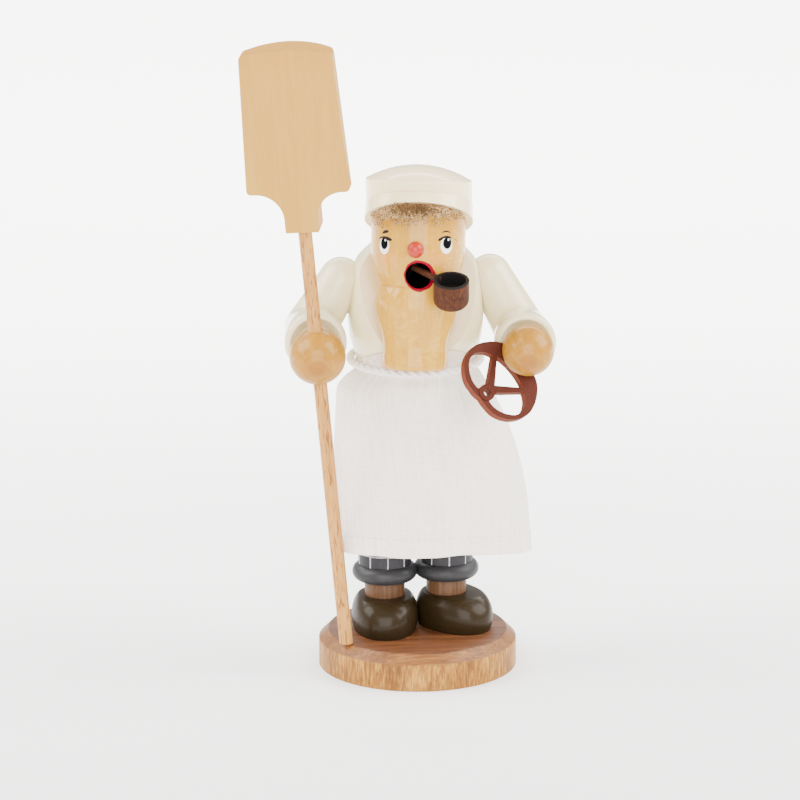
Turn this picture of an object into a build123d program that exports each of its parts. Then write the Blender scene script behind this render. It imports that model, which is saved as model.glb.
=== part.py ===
from build123d import *
import os
from math import copysign, cos, radians, sin, sqrt, tan

# A turned wooden incense smoker: a baker with a bread peel and a pretzel on a round base.
# Millimetres, +Z up, -Y towards the viewer. The origin is the centre of the base's underside.
# Left and right are the figure's own: the peel is in its right hand, at -X.

os.makedirs("parts", exist_ok=True)
up = (0, 0, 1)

# Fits
glue_gap = 0.05
running_gap = 0.05
lift_gap = 0.35
overrun = 2.0

# Base plate
base_radius = 30.0
base_side = 8.0
base_bevel = 3.0
base_height = base_side + base_bevel

# Where the figure stands on the base, and how far each half is turned
figure_x = -0.6
figure_y = 2.3
lower_turn = 10.5
upper_turn = 4.9

# Shoes
shoe_half_width = 10.15
shoe_sole_half = 9.4
shoe_top_half = 7.9
shoe_bulge_height = 4.0
shoe_height = 10.4
toe_reach = 16.0
heel_reach = 10.4
instep_reach = 11.1
shoe_edge_round = 0.5
shoe_sole_share = 0.92
shoe_rise_shares = ((0.42, 0.13, 0.90), (0.76, 0.47, 0.86), (1.0, 1.0, 0.80))
shoe_outline_points = 16
right_shoe_turn = 2.0
left_shoe_turn = 38.0
left_shoe_out = 1.2
shoe_dowel_radius = 2.0
shoe_dowel_length = 10.0

# Ankles, turn-up rings and trouser legs
leg_spacing = 19.0
ankle_radius = 6.1
ankle_in_shoe = 5.0
ankle_in_leg = 12.0
ring_gap_height = 4.7
ring_tube_radius = 2.6
ring_outer_radius = 9.9
pair_meet_gap = 0.1
leg_radius = 8.05
leg_in_hip = 9.0

# Hip block, with the spigot that the upper figure lifts off
hip_bottom = 70.0
hip_height = 20.0
hip_top = hip_bottom + hip_height
hip_radius = 18.6
hip_round = 7.0
hip_edge = 0.8
spigot_height = 5.0

# Dish for the incense cone, and the sunk tack that holds it
dish_floor_radius = 8.5
dish_rim_radius = 11.0
dish_rim_height = 2.6
dish_sheet = 0.5
tack_head_radius = 1.8
tack_head_height = 0.8
tack_shank_radius = 0.7
tack_length = 9.0

# Torso
torso_bottom_radius = 17.6
torso_waist_radius = 17.6
torso_waist_height = 5.2
torso_belly_radius = 19.5
torso_belly_height = 11.0
torso_radius = 20.3
torso_wide_height = 23.0
torso_high_radius = 19.6
torso_high_height = 30.4
torso_shoulder_radius = 17.9
torso_shoulder_height = 35.8
torso_neck_radius = 14.6
torso_neck_height = 39.4
torso_top_radius = 8.0
torso_height = 41.7
torso_waist_slope_share = 0.35
torso_top_slope_share = 0.02
chest_cut_height = 8.5
chest_cut_lean = 25.0
chamber_radius = 14.6
chamber_straight = 8.0
chamber_top_radius = 5.5
chamber_height = 29.0
vent_radius = 2.2
vent_height = 13.5

# Head and chin, turned in one piece about an axis that leans back
chin_side = 0.3
chin_stand = 3.2
chin_rise = 7.7
chin_x = figure_x - chin_side
chin_y = figure_y - torso_belly_radius - chin_stand
chin_z = hip_top + chin_rise
head_lean_back = 10.2
head_lean_side = 1.7
head_turn = -4.0
chin_foot_radius = 9.8
chin_foot_round = 1.3
chin_neck_radius = 9.6
chin_neck_height = 6.0
chin_radius = 12.1
chin_wide_height = 18.5
chin_slope_share = 0.35
jaw_radius = 11.35
jaw_height = 24.6
jaw_groove = 0.35
cheek_radius = 13.4
cheek_height = 31.3
cheek_slope_share = 0.45
head_radius = 14.0
brow_height = 38.0
crown_height = 56.0
mouth_radius = 3.85
mouth_height = 28.6
mouth_side = 1.2
mouth_depth = 16.0
smoke_radius = 3.0
head_dowel_radius = 2.0
head_dowel_in_torso = 3.4
head_dowel_in_head = 8.0
head_dowel_height = 8.5

# Nose
nose_radius = 2.45
nose_gap = 1.5
nose_height = mouth_height + mouth_radius + nose_gap + nose_radius
nose_side = 0.3
nose_stand = 1.1
nose_peg_radius = 0.9
nose_peg_length = 5.0

# Cap
cap_band_radius = 16.1
cap_band_taper = 0.15
cap_crown_radius = 15.7
cap_crown_edge_radius = 15.8
cap_crown_side = -0.4
cap_crown_rise = 11.8
cap_lean = 17.0
cap_rim_lean = 6.0
cap_centre_height = 44.2
cap_band_height = 4.9
cap_dome_rise = 4.8
cap_edge_round = 0.8
cap_dowel_radius = 2.5
cap_dowel_length = 14.0

# Hair that shows under the cap
hair_thickness = 1.4
hair_low = 42.8

# Arms, the same on both sides
shoulder_out = 22.4
shoulder_rise = 30.2
shoulder_height = hip_top + shoulder_rise
shoulder_radius = 6.5
elbow_out = 31.3
elbow_rise = 13.7
elbow_height = hip_top + elbow_rise
elbow_radius = 7.8
forearm_length = 19.5
cuff_radius = 9.3
cuff_round = 1.6
cuff_mouth_radius = 7.6
cuff_mouth_depth = 2.4
peel_arm_raise = 1.7
arm_dowel_radius = 2.0
arm_dowel_in_torso = 9.0
arm_dowel_in_arm = 4.5
elbow_dowel_radius = 1.5
elbow_dowel_length = 10.0

# Hands
peel_hand_radius = 8.4
peel_hand_drop = 2.2
pretzel_hand_radius = 7.75
hand_reach = 6.8
hand_peg_radius = 1.5
hand_peg_length = 12.0

# Pipe
pipe_bowl_radius = 5.25
pipe_bowl_height = 8.8
pipe_bowl_round = 2.6
pipe_bowl_rim = 0.9
pipe_bowl_depth = 3.6
pipe_bowl_side = 10.84
pipe_bowl_out = 9.3
pipe_bowl_rise = 21.6
pipe_bowl_x = chin_x + pipe_bowl_side
pipe_bowl_y = chin_y - pipe_bowl_out
pipe_bowl_z = chin_z + pipe_bowl_rise
pipe_bowl_lean = 15.0
pipe_stem_radius = 1.15
pipe_stem_tip_radius = 0.9
pipe_stem_below_rim = 1.7
stem_tip_side = -1.9
stem_tip_rise = 2.0
stem_tip_reach = 6.8

# Pretzel
pretzel_thickness = 2.6
pretzel_half_width = 12.9
pretzel_height = 22.0
pretzel_loop_radius = 2.5
pretzel_loop_bore = 1.15
pretzel_loop_stand = 0.35
pretzel_behind_hand = 4.0
pretzel_loop_down = 18.0
pretzel_loop_side = 1.6
pretzel_face = (0.40, -0.75, 0.527)
pretzel_lean = (0.655, 0.636, 0.408)
pretzel_rim_shares = (
    (0.0, -0.125),
    (0.25, -0.140),
    (0.43, -0.132),
    (0.62, -0.085),
    (0.82, 0.014),
    (0.955, 0.15),
    (1.0, 0.29),
    (0.955, 0.42),
    (0.85, 0.545),
    (0.66, 0.675),
    (0.45, 0.742),
    (0.22, 0.766),
    (0.0, 0.77),
)
pretzel_side_shares = (
    (0.18, -0.055),
    (0.43, -0.050),
    (0.68, 0.032),
    (0.83, 0.135),
    (0.86, 0.23),
    (0.79, 0.34),
    (0.55, 0.452),
)
pretzel_side_inner_shares = (0.145, 0.113)
pretzel_middle_shares = ((0.470, 0.488), (0.235, 0.530), (0.0, 0.54))
pretzel_middle_low_share = 0.168
pretzel_foot_slope_share = 0.3

# Apron and its cord
cloth = 0.6
cloth_gap = 0.1
apron_bib_height = 12.5
apron_top = hip_top + apron_bib_height
apron_hem = 40.0
apron_side_back = 1.0
apron_top_radius = 20.45
apron_hip_radius = 20.0
apron_hem_left = 25.6
apron_hem_left_back = 17.4
apron_hem_right = 33.4
apron_hem_right_back = 19.6
apron_hem_front = 26.3
apron_flare = 2.5
apron_section_shares = (0.1, 0.22, 0.36, 0.52, 0.7, 0.85, 1.0)
cord_radius = 1.4
cord_height = hip_top + torso_waist_height
chin_room = 0.5
knot_radius = 2.3
knot_length = 5.2
tail_radius = 0.9
tail_length = 12.0
tail_spread = 14.0

# Bread peel
rod_radius = 2.03
peel_foot_x = -21.5
peel_foot_y = -17.2
peel_foot_gap = 0.3
blade_neck_height = 133.3
blade_neck_half = 4.9
blade_shoulder = 12.1
blade_shoulder_radius = 8.0
blade_low_half = 15.4
blade_top_half = 13.7
blade_height = 54.6
blade_crown = 1.3
blade_thickness = 9.4
blade_edge_thickness = 3.6
blade_corner = 1.4
blade_turn = -7.5
rod_in_blade = 10.0


def turned_dir(turn):
    """X direction of something turned about the vertical."""
    return (cos(radians(turn)), sin(radians(turn)), 0)


def section_of(frame):
    """Sketch plane with X as radius and Y along the frame's axis."""
    return Plane(origin=frame.origin, x_dir=frame.x_dir, z_dir=-frame.y_dir)


def dome_middle(radius, rise):
    """Point halfway out on a round dome over a circle, as radius and height above the circle."""
    ball = (radius**2 + rise**2) / (2 * rise)
    return radius / 2, rise - ball + sqrt(ball**2 - radius**2 / 4)


def finish(part, name):
    part.label = name
    export_step(part, f"parts/{name}.step")


lower = Plane(origin=(figure_x, figure_y, 0), x_dir=turned_dir(lower_turn), z_dir=up)
upper = Plane(origin=(figure_x, figure_y, hip_top), x_dir=turned_dir(upper_turn), z_dir=up)
lower_section = section_of(lower)
upper_section = section_of(upper)
ankle_top = base_height + shoe_height
ring_bottom = ankle_top + ring_gap_height
ring_middle = ring_bottom + ring_tube_radius
ring_top = ring_middle + ring_tube_radius
ring_centre_radius = ring_outer_radius - ring_tube_radius
leg_top = hip_bottom + leg_in_hip

# One entry for each leg: sign across the figure, and how far its shoe is turned and set outwards
leg_sides = {"right": (-1, right_shoe_turn, 0.0), "left": (1, left_shoe_turn, left_shoe_out)}
leg_places = {
    side: lower.from_local_coords(Vector(sign * leg_spacing / 2, 0, 0))
    for side, (sign, turn, out) in leg_sides.items()
}

# Shoes and turn-up rings are sanded flat where the pair meets.
meeting_planes = {
    side: Plane(
        origin=lower.from_local_coords(Vector(sign * pair_meet_gap / 2, 0, 0)),
        x_dir=up,
        z_dir=lower.x_dir * sign,
    )
    for side, (sign, turn, out) in leg_sides.items()
}

# Height, half width, toe and heel reach, and fullness of the outlines that a shoe is shaped through
sole_inset = shoe_half_width - shoe_sole_half
top_inset = shoe_half_width - shoe_top_half
shoe_levels = [
    (0, shoe_sole_half, toe_reach - sole_inset, heel_reach - sole_inset, shoe_sole_share),
    (
        shoe_bulge_height / 2,
        shoe_half_width - sole_inset / 4,
        toe_reach - sole_inset / 4,
        heel_reach - sole_inset / 4,
        shoe_sole_share,
    ),
    (shoe_bulge_height, shoe_half_width, toe_reach, heel_reach, shoe_sole_share),
]
for rise, inward, fullness in shoe_rise_shares:
    shoe_levels.append(
        (
            shoe_bulge_height + (shoe_height - shoe_bulge_height) * rise,
            shoe_half_width - top_inset * inward,
            toe_reach - (toe_reach - instep_reach) * inward,
            heel_reach - top_inset * inward,
            fullness,
        )
    )


def shoe_outline(half_width, toe, heel, fullness):
    """Points round a shoe, half an oval to the toe and half to the heel; less fullness is squarer."""
    points = []
    for step in range(shoe_outline_points):
        angle = radians(360 * step / shoe_outline_points)
        across = abs(sin(angle)) ** fullness * half_width
        along = abs(cos(angle)) ** fullness * (toe if cos(angle) > 0 else heel)
        points.append((copysign(across, sin(angle)), copysign(along, -cos(angle))))
    return points


with BuildPart() as base_plate:
    Cylinder(base_radius, base_height, align=(Align.CENTER, Align.CENTER, Align.MIN))
    chamfer(base_plate.edges().group_by(Axis.Z)[-1], base_bevel)
    for place in leg_places.values():
        with Locations((place.X, place.Y, base_height)):
            Hole(shoe_dowel_radius + glue_gap, depth=shoe_dowel_length / 2 + glue_gap)
finish(base_plate.part, "base_plate")

with BuildPart() as shoe_dowels:
    for place in leg_places.values():
        with Locations((place.X, place.Y, base_height)):
            Cylinder(shoe_dowel_radius, shoe_dowel_length)
finish(shoe_dowels.part, "shoe_dowels")

for side, (sign, turn, out) in leg_sides.items():
    place = leg_places[side]
    middle = place + lower.x_dir * (sign * out)
    seat = Plane(origin=(middle.X, middle.Y, base_height), x_dir=turned_dir(turn), z_dir=up)

    with BuildPart() as shoe:
        for level, half_width, toe, heel, fullness in shoe_levels:
            with BuildSketch(seat.offset(level)):
                with BuildLine():
                    Spline(*shoe_outline(half_width, toe, heel, fullness), periodic=True)
                make_face()
        loft()
        fillet(shoe.faces().sort_by(Axis.Z)[-1].edges(), shoe_edge_round)
        split(bisect_by=meeting_planes[side], keep=Keep.TOP)
        with Locations((place.X, place.Y, ankle_top)):
            Hole(ankle_radius + glue_gap, depth=ankle_in_shoe)
        with Locations((place.X, place.Y, base_height)):
            Cylinder(
                shoe_dowel_radius + glue_gap,
                shoe_dowel_length + 2 * glue_gap,
                mode=Mode.SUBTRACT,
            )
    finish(shoe.part, f"{side}_shoe")

    with BuildPart() as ankle:
        with Locations((place.X, place.Y, ankle_top - ankle_in_shoe + glue_gap)):
            Cylinder(
                ankle_radius,
                ring_top + ankle_in_leg - ankle_top + ankle_in_shoe - 2 * glue_gap,
                align=(Align.CENTER, Align.CENTER, Align.MIN),
            )
    finish(ankle.part, f"{side}_ankle")

    with BuildPart() as turn_up:
        with BuildSketch(section_of(Plane(origin=(place.X, place.Y, ring_middle), z_dir=up))):
            with BuildLine():
                Polyline(
                    (ring_centre_radius, -ring_tube_radius),
                    (ankle_radius + glue_gap, -ring_tube_radius),
                    (ankle_radius + glue_gap, ring_tube_radius),
                    (ring_centre_radius, ring_tube_radius),
                )
                ThreePointArc(
                    (ring_centre_radius, ring_tube_radius),
                    (ring_outer_radius, 0),
                    (ring_centre_radius, -ring_tube_radius),
                )
            make_face()
        revolve(axis=Axis((place.X, place.Y, 0), up))
        split(bisect_by=meeting_planes[side], keep=Keep.TOP)
    finish(turn_up.part, f"{side}_turn_up_ring")

    with BuildPart() as trouser_leg:
        with Locations((place.X, place.Y, ring_top)):
            Cylinder(leg_radius, leg_top - ring_top, align=(Align.CENTER, Align.CENTER, Align.MIN))
            Cylinder(
                ankle_radius + glue_gap,
                ankle_in_leg,
                align=(Align.CENTER, Align.CENTER, Align.MIN),
                mode=Mode.SUBTRACT,
            )
    finish(trouser_leg.part, f"{side}_trouser_leg")

spigot_radius = chamber_radius - lift_gap
with BuildPart() as hip_block:
    with BuildSketch(lower_section):
        with BuildLine():
            Line((0, hip_bottom), (hip_radius - hip_round, hip_bottom))
            RadiusArc(
                (hip_radius - hip_round, hip_bottom),
                (hip_radius, hip_bottom + hip_round),
                -hip_round,
            )
            Polyline(
                (hip_radius, hip_bottom + hip_round),
                (hip_radius, hip_top - hip_edge),
                (hip_radius - hip_edge, hip_top),
                (spigot_radius, hip_top),
                (spigot_radius, hip_top + spigot_height - hip_edge),
                (spigot_radius - hip_edge, hip_top + spigot_height),
                (tack_head_radius, hip_top + spigot_height),
                (tack_shank_radius, hip_top + spigot_height - tack_head_height),
                (tack_shank_radius, hip_top + spigot_height - tack_length),
                (0, hip_top + spigot_height - tack_length),
                (0, hip_bottom),
            )
        make_face()
    revolve(axis=Axis(lower.origin, up))
    for place in leg_places.values():
        with Locations((place.X, place.Y, hip_bottom)):
            Cylinder(
                leg_radius + glue_gap,
                leg_in_hip,
                align=(Align.CENTER, Align.CENTER, Align.MIN),
                mode=Mode.SUBTRACT,
            )
            Cylinder(
                leg_radius + glue_gap,
                overrun,
                align=(Align.CENTER, Align.CENTER, Align.MAX),
                mode=Mode.SUBTRACT,
            )
finish(hip_block.part, "hip_block")

dish_seat = Plane(origin=(figure_x, figure_y, hip_top + spigot_height), x_dir=(1, 0, 0), z_dir=up)
with BuildPart() as incense_dish:
    with BuildSketch(section_of(dish_seat)):
        with BuildLine():
            Polyline(
                (tack_shank_radius, -tack_head_height),
                (tack_head_radius, 0),
                (dish_floor_radius, 0),
                (dish_rim_radius, dish_rim_height - dish_sheet),
                (dish_rim_radius, dish_rim_height),
                (dish_rim_radius - dish_sheet, dish_rim_height),
                (dish_floor_radius - dish_sheet, dish_sheet),
                (tack_head_radius, dish_sheet),
                (tack_shank_radius, dish_sheet - tack_head_height),
                close=True,
            )
        make_face()
    revolve(axis=Axis(dish_seat.origin, up))
finish(incense_dish.part, "incense_dish")

with BuildPart() as dish_tack:
    with BuildSketch(section_of(dish_seat)):
        with BuildLine():
            Polyline(
                (0, dish_sheet),
                (0, dish_sheet - tack_length),
                (tack_shank_radius, dish_sheet - tack_length + 2 * tack_shank_radius),
                (tack_shank_radius, dish_sheet - tack_head_height),
                (tack_head_radius, dish_sheet),
                close=True,
            )
        make_face()
    revolve(axis=Axis(dish_seat.origin, up))
finish(dish_tack.part, "dish_tack")

# The head's own frame: origin at the middle of the chin's foot, Z up the turning axis, -Y to the face
head_axis = Vector(tan(radians(head_lean_side)), tan(radians(head_lean_back)), 1).normalized()
head_side = Vector(*turned_dir(head_turn))
head_side = (head_side - head_axis * head_side.dot(head_axis)).normalized()
head_frame = Plane(origin=(chin_x, chin_y, chin_z), x_dir=head_side, z_dir=head_axis)


def head_outline(grow=0.0):
    """Half outline of the head and chin about its turning axis."""
    foot = -grow
    with BuildLine() as outline:
        Line((0, foot), (chin_foot_radius - chin_foot_round + grow, foot))
        RadiusArc(
            (chin_foot_radius - chin_foot_round + grow, foot),
            (chin_foot_radius + grow, chin_foot_round + foot),
            -chin_foot_round,
        )
        Spline(
            (chin_foot_radius + grow, chin_foot_round + foot),
            (chin_neck_radius + grow, chin_neck_height),
            (chin_radius + grow, chin_wide_height),
            (jaw_radius + grow, jaw_height),
            tangents=[(0, 1), (-chin_slope_share, 1)],
        )
        Line((jaw_radius + grow, jaw_height), (jaw_radius - jaw_groove + grow, jaw_height + jaw_groove))
        Spline(
            (jaw_radius - jaw_groove + grow, jaw_height + jaw_groove),
            (cheek_radius + grow, cheek_height),
            (head_radius + grow, brow_height),
            tangents=[(cheek_slope_share, 1), (0, 1)],
        )
        Polyline(
            (head_radius + grow, brow_height),
            (head_radius + grow, crown_height),
            (0, crown_height),
            (0, foot),
        )
    return outline.line


def torso_outline(grow=0.0):
    """Half outline of the torso about its own axis, from its bottom edge."""
    with BuildLine() as outline:
        Polyline((0, 0), (torso_bottom_radius + grow, 0), (torso_waist_radius + grow, torso_waist_height))
        Spline(
            (torso_waist_radius + grow, torso_waist_height),
            (torso_belly_radius + grow, torso_belly_height),
            (torso_radius + grow, torso_wide_height),
            (torso_high_radius + grow, torso_high_height),
            (torso_shoulder_radius + grow, torso_shoulder_height),
            (torso_neck_radius + grow, torso_neck_height),
            (torso_top_radius, torso_height + grow),
            tangents=[(torso_waist_slope_share, 1), (-1, torso_top_slope_share)],
        )
        Polyline((torso_top_radius, torso_height + grow), (0, torso_height + grow), (0, 0))
    return outline.line


head_line = head_outline()
torso_line = torso_outline()
torso_space_line = torso_outline(glue_gap)

# The flat that carries the head leans back across the front of the torso.
chest_lean = radians(chest_cut_lean)
chest_foot = upper.from_local_coords(Vector(0, -torso_belly_radius, chest_cut_height))
chest_out = upper.z_dir * sin(chest_lean) - upper.y_dir * cos(chest_lean)
chest_flat = Plane(origin=chest_foot, x_dir=upper.x_dir, z_dir=chest_out)

# The smoke way: straight in at the mouth, then down and back into the chamber
mouth_front = head_frame.from_local_coords(Vector(mouth_side, -head_radius - overrun, mouth_height))
smoke_start = head_frame.from_local_coords(
    Vector(mouth_side, mouth_depth - head_radius - smoke_radius, mouth_height)
)
smoke_end = upper.from_local_coords(Vector(0, 0, chamber_height - smoke_radius - overrun))
smoke_frame = Plane(origin=smoke_start, z_dir=(smoke_end - smoke_start).normalized())
smoke_length = (smoke_end - smoke_start).length

# Dowel that locates the head on the flat, square to it
head_dowel_place = chest_flat.from_local_coords(Vector(0, head_dowel_height, 0))
head_dowel_frame = Plane(origin=head_dowel_place, z_dir=chest_flat.z_dir)


def arm_points(sign, raised):
    """Shoulder, elbow, cuff and hand places of one arm, in the upper figure's frame."""
    elbow_z = elbow_height + raised - hip_top
    shoulder = upper.from_local_coords(Vector(sign * shoulder_out, 0, shoulder_height - hip_top))
    elbow = upper.from_local_coords(Vector(sign * elbow_out, 0, elbow_z))
    cuff = upper.from_local_coords(Vector(sign * elbow_out, -forearm_length, elbow_z))
    return shoulder, elbow, cuff


arms = {"right": (-1, peel_arm_raise), "left": (1, 0.0)}
arm_dowel_frames = {}
for side, (sign, raised) in arms.items():
    shoulder, elbow, cuff = arm_points(sign, raised)
    arm_dowel_frames[side] = Plane(origin=shoulder, z_dir=upper.x_dir * sign)

with BuildPart() as torso:
    with BuildSketch(upper_section):
        with BuildLine():
            add(torso_line)
        make_face()
    revolve(axis=Axis(upper.origin, up))
    split(bisect_by=chest_flat, keep=Keep.BOTTOM)
    with BuildSketch(upper_section):
        with BuildLine():
            Polyline(
                (0, -overrun),
                (chamber_radius, -overrun),
                (chamber_radius, chamber_straight),
                (chamber_top_radius, chamber_height),
                (0, chamber_height),
                close=True,
            )
        make_face()
    revolve(axis=Axis(upper.origin, up), mode=Mode.SUBTRACT)
    with BuildSketch(smoke_frame):
        Circle(smoke_radius)
    extrude(amount=smoke_length, mode=Mode.SUBTRACT)
    with BuildSketch(head_dowel_frame):
        Circle(head_dowel_radius + glue_gap)
    extrude(amount=-head_dowel_in_torso, mode=Mode.SUBTRACT)
    for frame in arm_dowel_frames.values():
        with BuildSketch(frame.offset(-arm_dowel_in_torso - glue_gap)):
            Circle(arm_dowel_radius + glue_gap)
        extrude(amount=arm_dowel_in_torso + overrun, mode=Mode.SUBTRACT)
    vent = Plane(origin=upper.from_local_coords(Vector(0, 0, vent_height)), z_dir=upper.y_dir)
    with BuildSketch(vent):
        Circle(vent_radius)
    extrude(amount=2 * torso_radius, mode=Mode.SUBTRACT)
finish(torso.part, "torso")

# The cap's band leans back, its slanted underside a little more, and the crown stands up straight on it.
cap_middle = head_frame.from_local_coords(Vector(0, 0, cap_centre_height))
cap_turned = head_frame.rotated((-cap_lean, 0, 0))
cap_frame = Plane(origin=cap_middle, x_dir=cap_turned.x_dir, z_dir=cap_turned.z_dir)
rim_frame = cap_frame.rotated((-cap_rim_lean, 0, 0))

crown_frame = Plane(
    origin=head_frame.from_local_coords(Vector(cap_crown_side, 0, cap_centre_height + cap_crown_rise)),
    x_dir=head_frame.x_dir,
    z_dir=head_frame.z_dir,
)

with BuildPart() as cap:
    with BuildSketch(section_of(cap_frame)):
        with BuildLine():
            Polyline(
                (0, -cap_band_radius / 2),
                (cap_band_radius, -cap_band_radius / 2),
                (cap_band_radius, 0),
                (cap_band_radius - cap_band_taper, cap_band_height),
                (0, cap_band_height),
                close=True,
            )
        make_face()
    revolve(axis=Axis(cap_frame.origin, cap_frame.z_dir))
    split(bisect_by=rim_frame, keep=Keep.TOP)
    with BuildSketch(cap_frame.offset(cap_band_height)):
        Circle(cap_crown_radius)
    with BuildSketch(crown_frame):
        Circle(cap_crown_edge_radius)
    loft()
    with BuildSketch(section_of(crown_frame)):
        with BuildLine():
            Polyline((0, cap_dome_rise), (0, 0), (cap_crown_edge_radius, 0))
            RadiusArc(
                (cap_crown_edge_radius, 0),
                (cap_crown_edge_radius - cap_edge_round, cap_edge_round),
                -cap_edge_round,
            )
            dome_radius, dome_height = dome_middle(
                cap_crown_edge_radius - cap_edge_round, cap_dome_rise - cap_edge_round
            )
            ThreePointArc(
                (cap_crown_edge_radius - cap_edge_round, cap_edge_round),
                (dome_radius, cap_edge_round + dome_height),
                (0, cap_dome_rise),
            )
        make_face()
    revolve(axis=Axis(crown_frame.origin, crown_frame.z_dir))
    with BuildSketch(rim_frame):
        Circle(cap_dowel_radius + glue_gap)
    extrude(amount=cap_dowel_length / 2 + glue_gap, mode=Mode.SUBTRACT)
finish(cap.part, "cap")

with BuildPart() as cap_dowel:
    with BuildSketch(rim_frame):
        Circle(cap_dowel_radius)
    extrude(amount=cap_dowel_length / 2, both=True)
finish(cap_dowel.part, "cap_dowel")

# Pipe: the bowl tips towards the viewer, and the stem rests in the upper corner of the mouth.
bowl_frame = Plane(origin=(pipe_bowl_x, pipe_bowl_y, pipe_bowl_z), x_dir=(1, 0, 0), z_dir=up)
bowl_frame = bowl_frame.rotated((pipe_bowl_lean, 0, 0))
stem_tip = head_frame.from_local_coords(
    Vector(mouth_side + stem_tip_side, -stem_tip_reach, mouth_height + stem_tip_rise)
)
bowl_side = bowl_frame.from_local_coords(Vector(0, 0, pipe_bowl_height - pipe_stem_below_rim))
stem_run = (stem_tip - bowl_side).normalized()
stem_root = bowl_side + stem_run * (pipe_bowl_radius - pipe_bowl_rim)
stem_frame = Plane(origin=stem_root, z_dir=stem_run)
stem_length = (stem_tip - stem_root).length

nose_frame_origin = head_frame.from_local_coords(Vector(nose_side, -head_radius - nose_stand, nose_height))
nose_frame = Plane(origin=nose_frame_origin, z_dir=head_frame.y_dir)

with BuildPart() as head:
    with BuildSketch(section_of(head_frame)):
        with BuildLine():
            add(head_line)
        make_face()
    revolve(axis=Axis(head_frame.origin, head_frame.z_dir))
    split(bisect_by=chest_flat.offset(glue_gap), keep=Keep.TOP)
    split(bisect_by=rim_frame.offset(-glue_gap), keep=Keep.BOTTOM)
    with BuildSketch(Plane(origin=mouth_front, z_dir=head_frame.y_dir)):
        Circle(mouth_radius)
    extrude(amount=mouth_depth + overrun, mode=Mode.SUBTRACT)
    with BuildSketch(smoke_frame):
        Circle(smoke_radius)
    extrude(amount=smoke_length, mode=Mode.SUBTRACT)
    with BuildSketch(head_dowel_frame):
        Circle(head_dowel_radius + glue_gap)
    extrude(amount=head_dowel_in_head, mode=Mode.SUBTRACT)
    with BuildSketch(rim_frame):
        Circle(cap_dowel_radius + glue_gap)
    extrude(amount=-cap_dowel_length / 2 - glue_gap, mode=Mode.SUBTRACT)
    with BuildSketch(nose_frame):
        Circle(nose_peg_radius + glue_gap)
    extrude(amount=nose_radius + nose_peg_length, mode=Mode.SUBTRACT)
    with Locations(nose_frame_origin):
        Sphere(nose_radius + glue_gap, mode=Mode.SUBTRACT)
    with BuildSketch(stem_frame):
        Circle(pipe_stem_radius + glue_gap)
    extrude(amount=stem_length + glue_gap, mode=Mode.SUBTRACT)
finish(head.part, "head")

with BuildPart() as head_dowel:
    with BuildSketch(head_dowel_frame.offset(glue_gap - head_dowel_in_torso)):
        Circle(head_dowel_radius)
    extrude(amount=head_dowel_in_torso + head_dowel_in_head - 2 * glue_gap)
finish(head_dowel.part, "head_dowel")

with BuildPart() as nose:
    with Locations(nose_frame_origin):
        Sphere(nose_radius)
    with BuildSketch(nose_frame):
        Circle(nose_peg_radius)
    extrude(amount=nose_radius + nose_peg_length - glue_gap)
finish(nose.part, "nose")

with BuildPart() as hair:
    with BuildSketch(section_of(head_frame)):
        with Locations((head_radius + glue_gap, hair_low)):
            Rectangle(hair_thickness, cap_crown_rise, align=(Align.MIN, Align.MIN))
    revolve(axis=Axis(head_frame.origin, head_frame.z_dir))
    split(bisect_by=rim_frame.offset(-glue_gap), keep=Keep.BOTTOM)
finish(hair.part, "hair")

# Torso shape a glue line larger, to cope the upper arms against it
with BuildPart() as torso_space:
    with BuildSketch(upper_section):
        with BuildLine():
            add(torso_space_line)
        make_face()
    revolve(axis=Axis(upper.origin, up))

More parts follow.
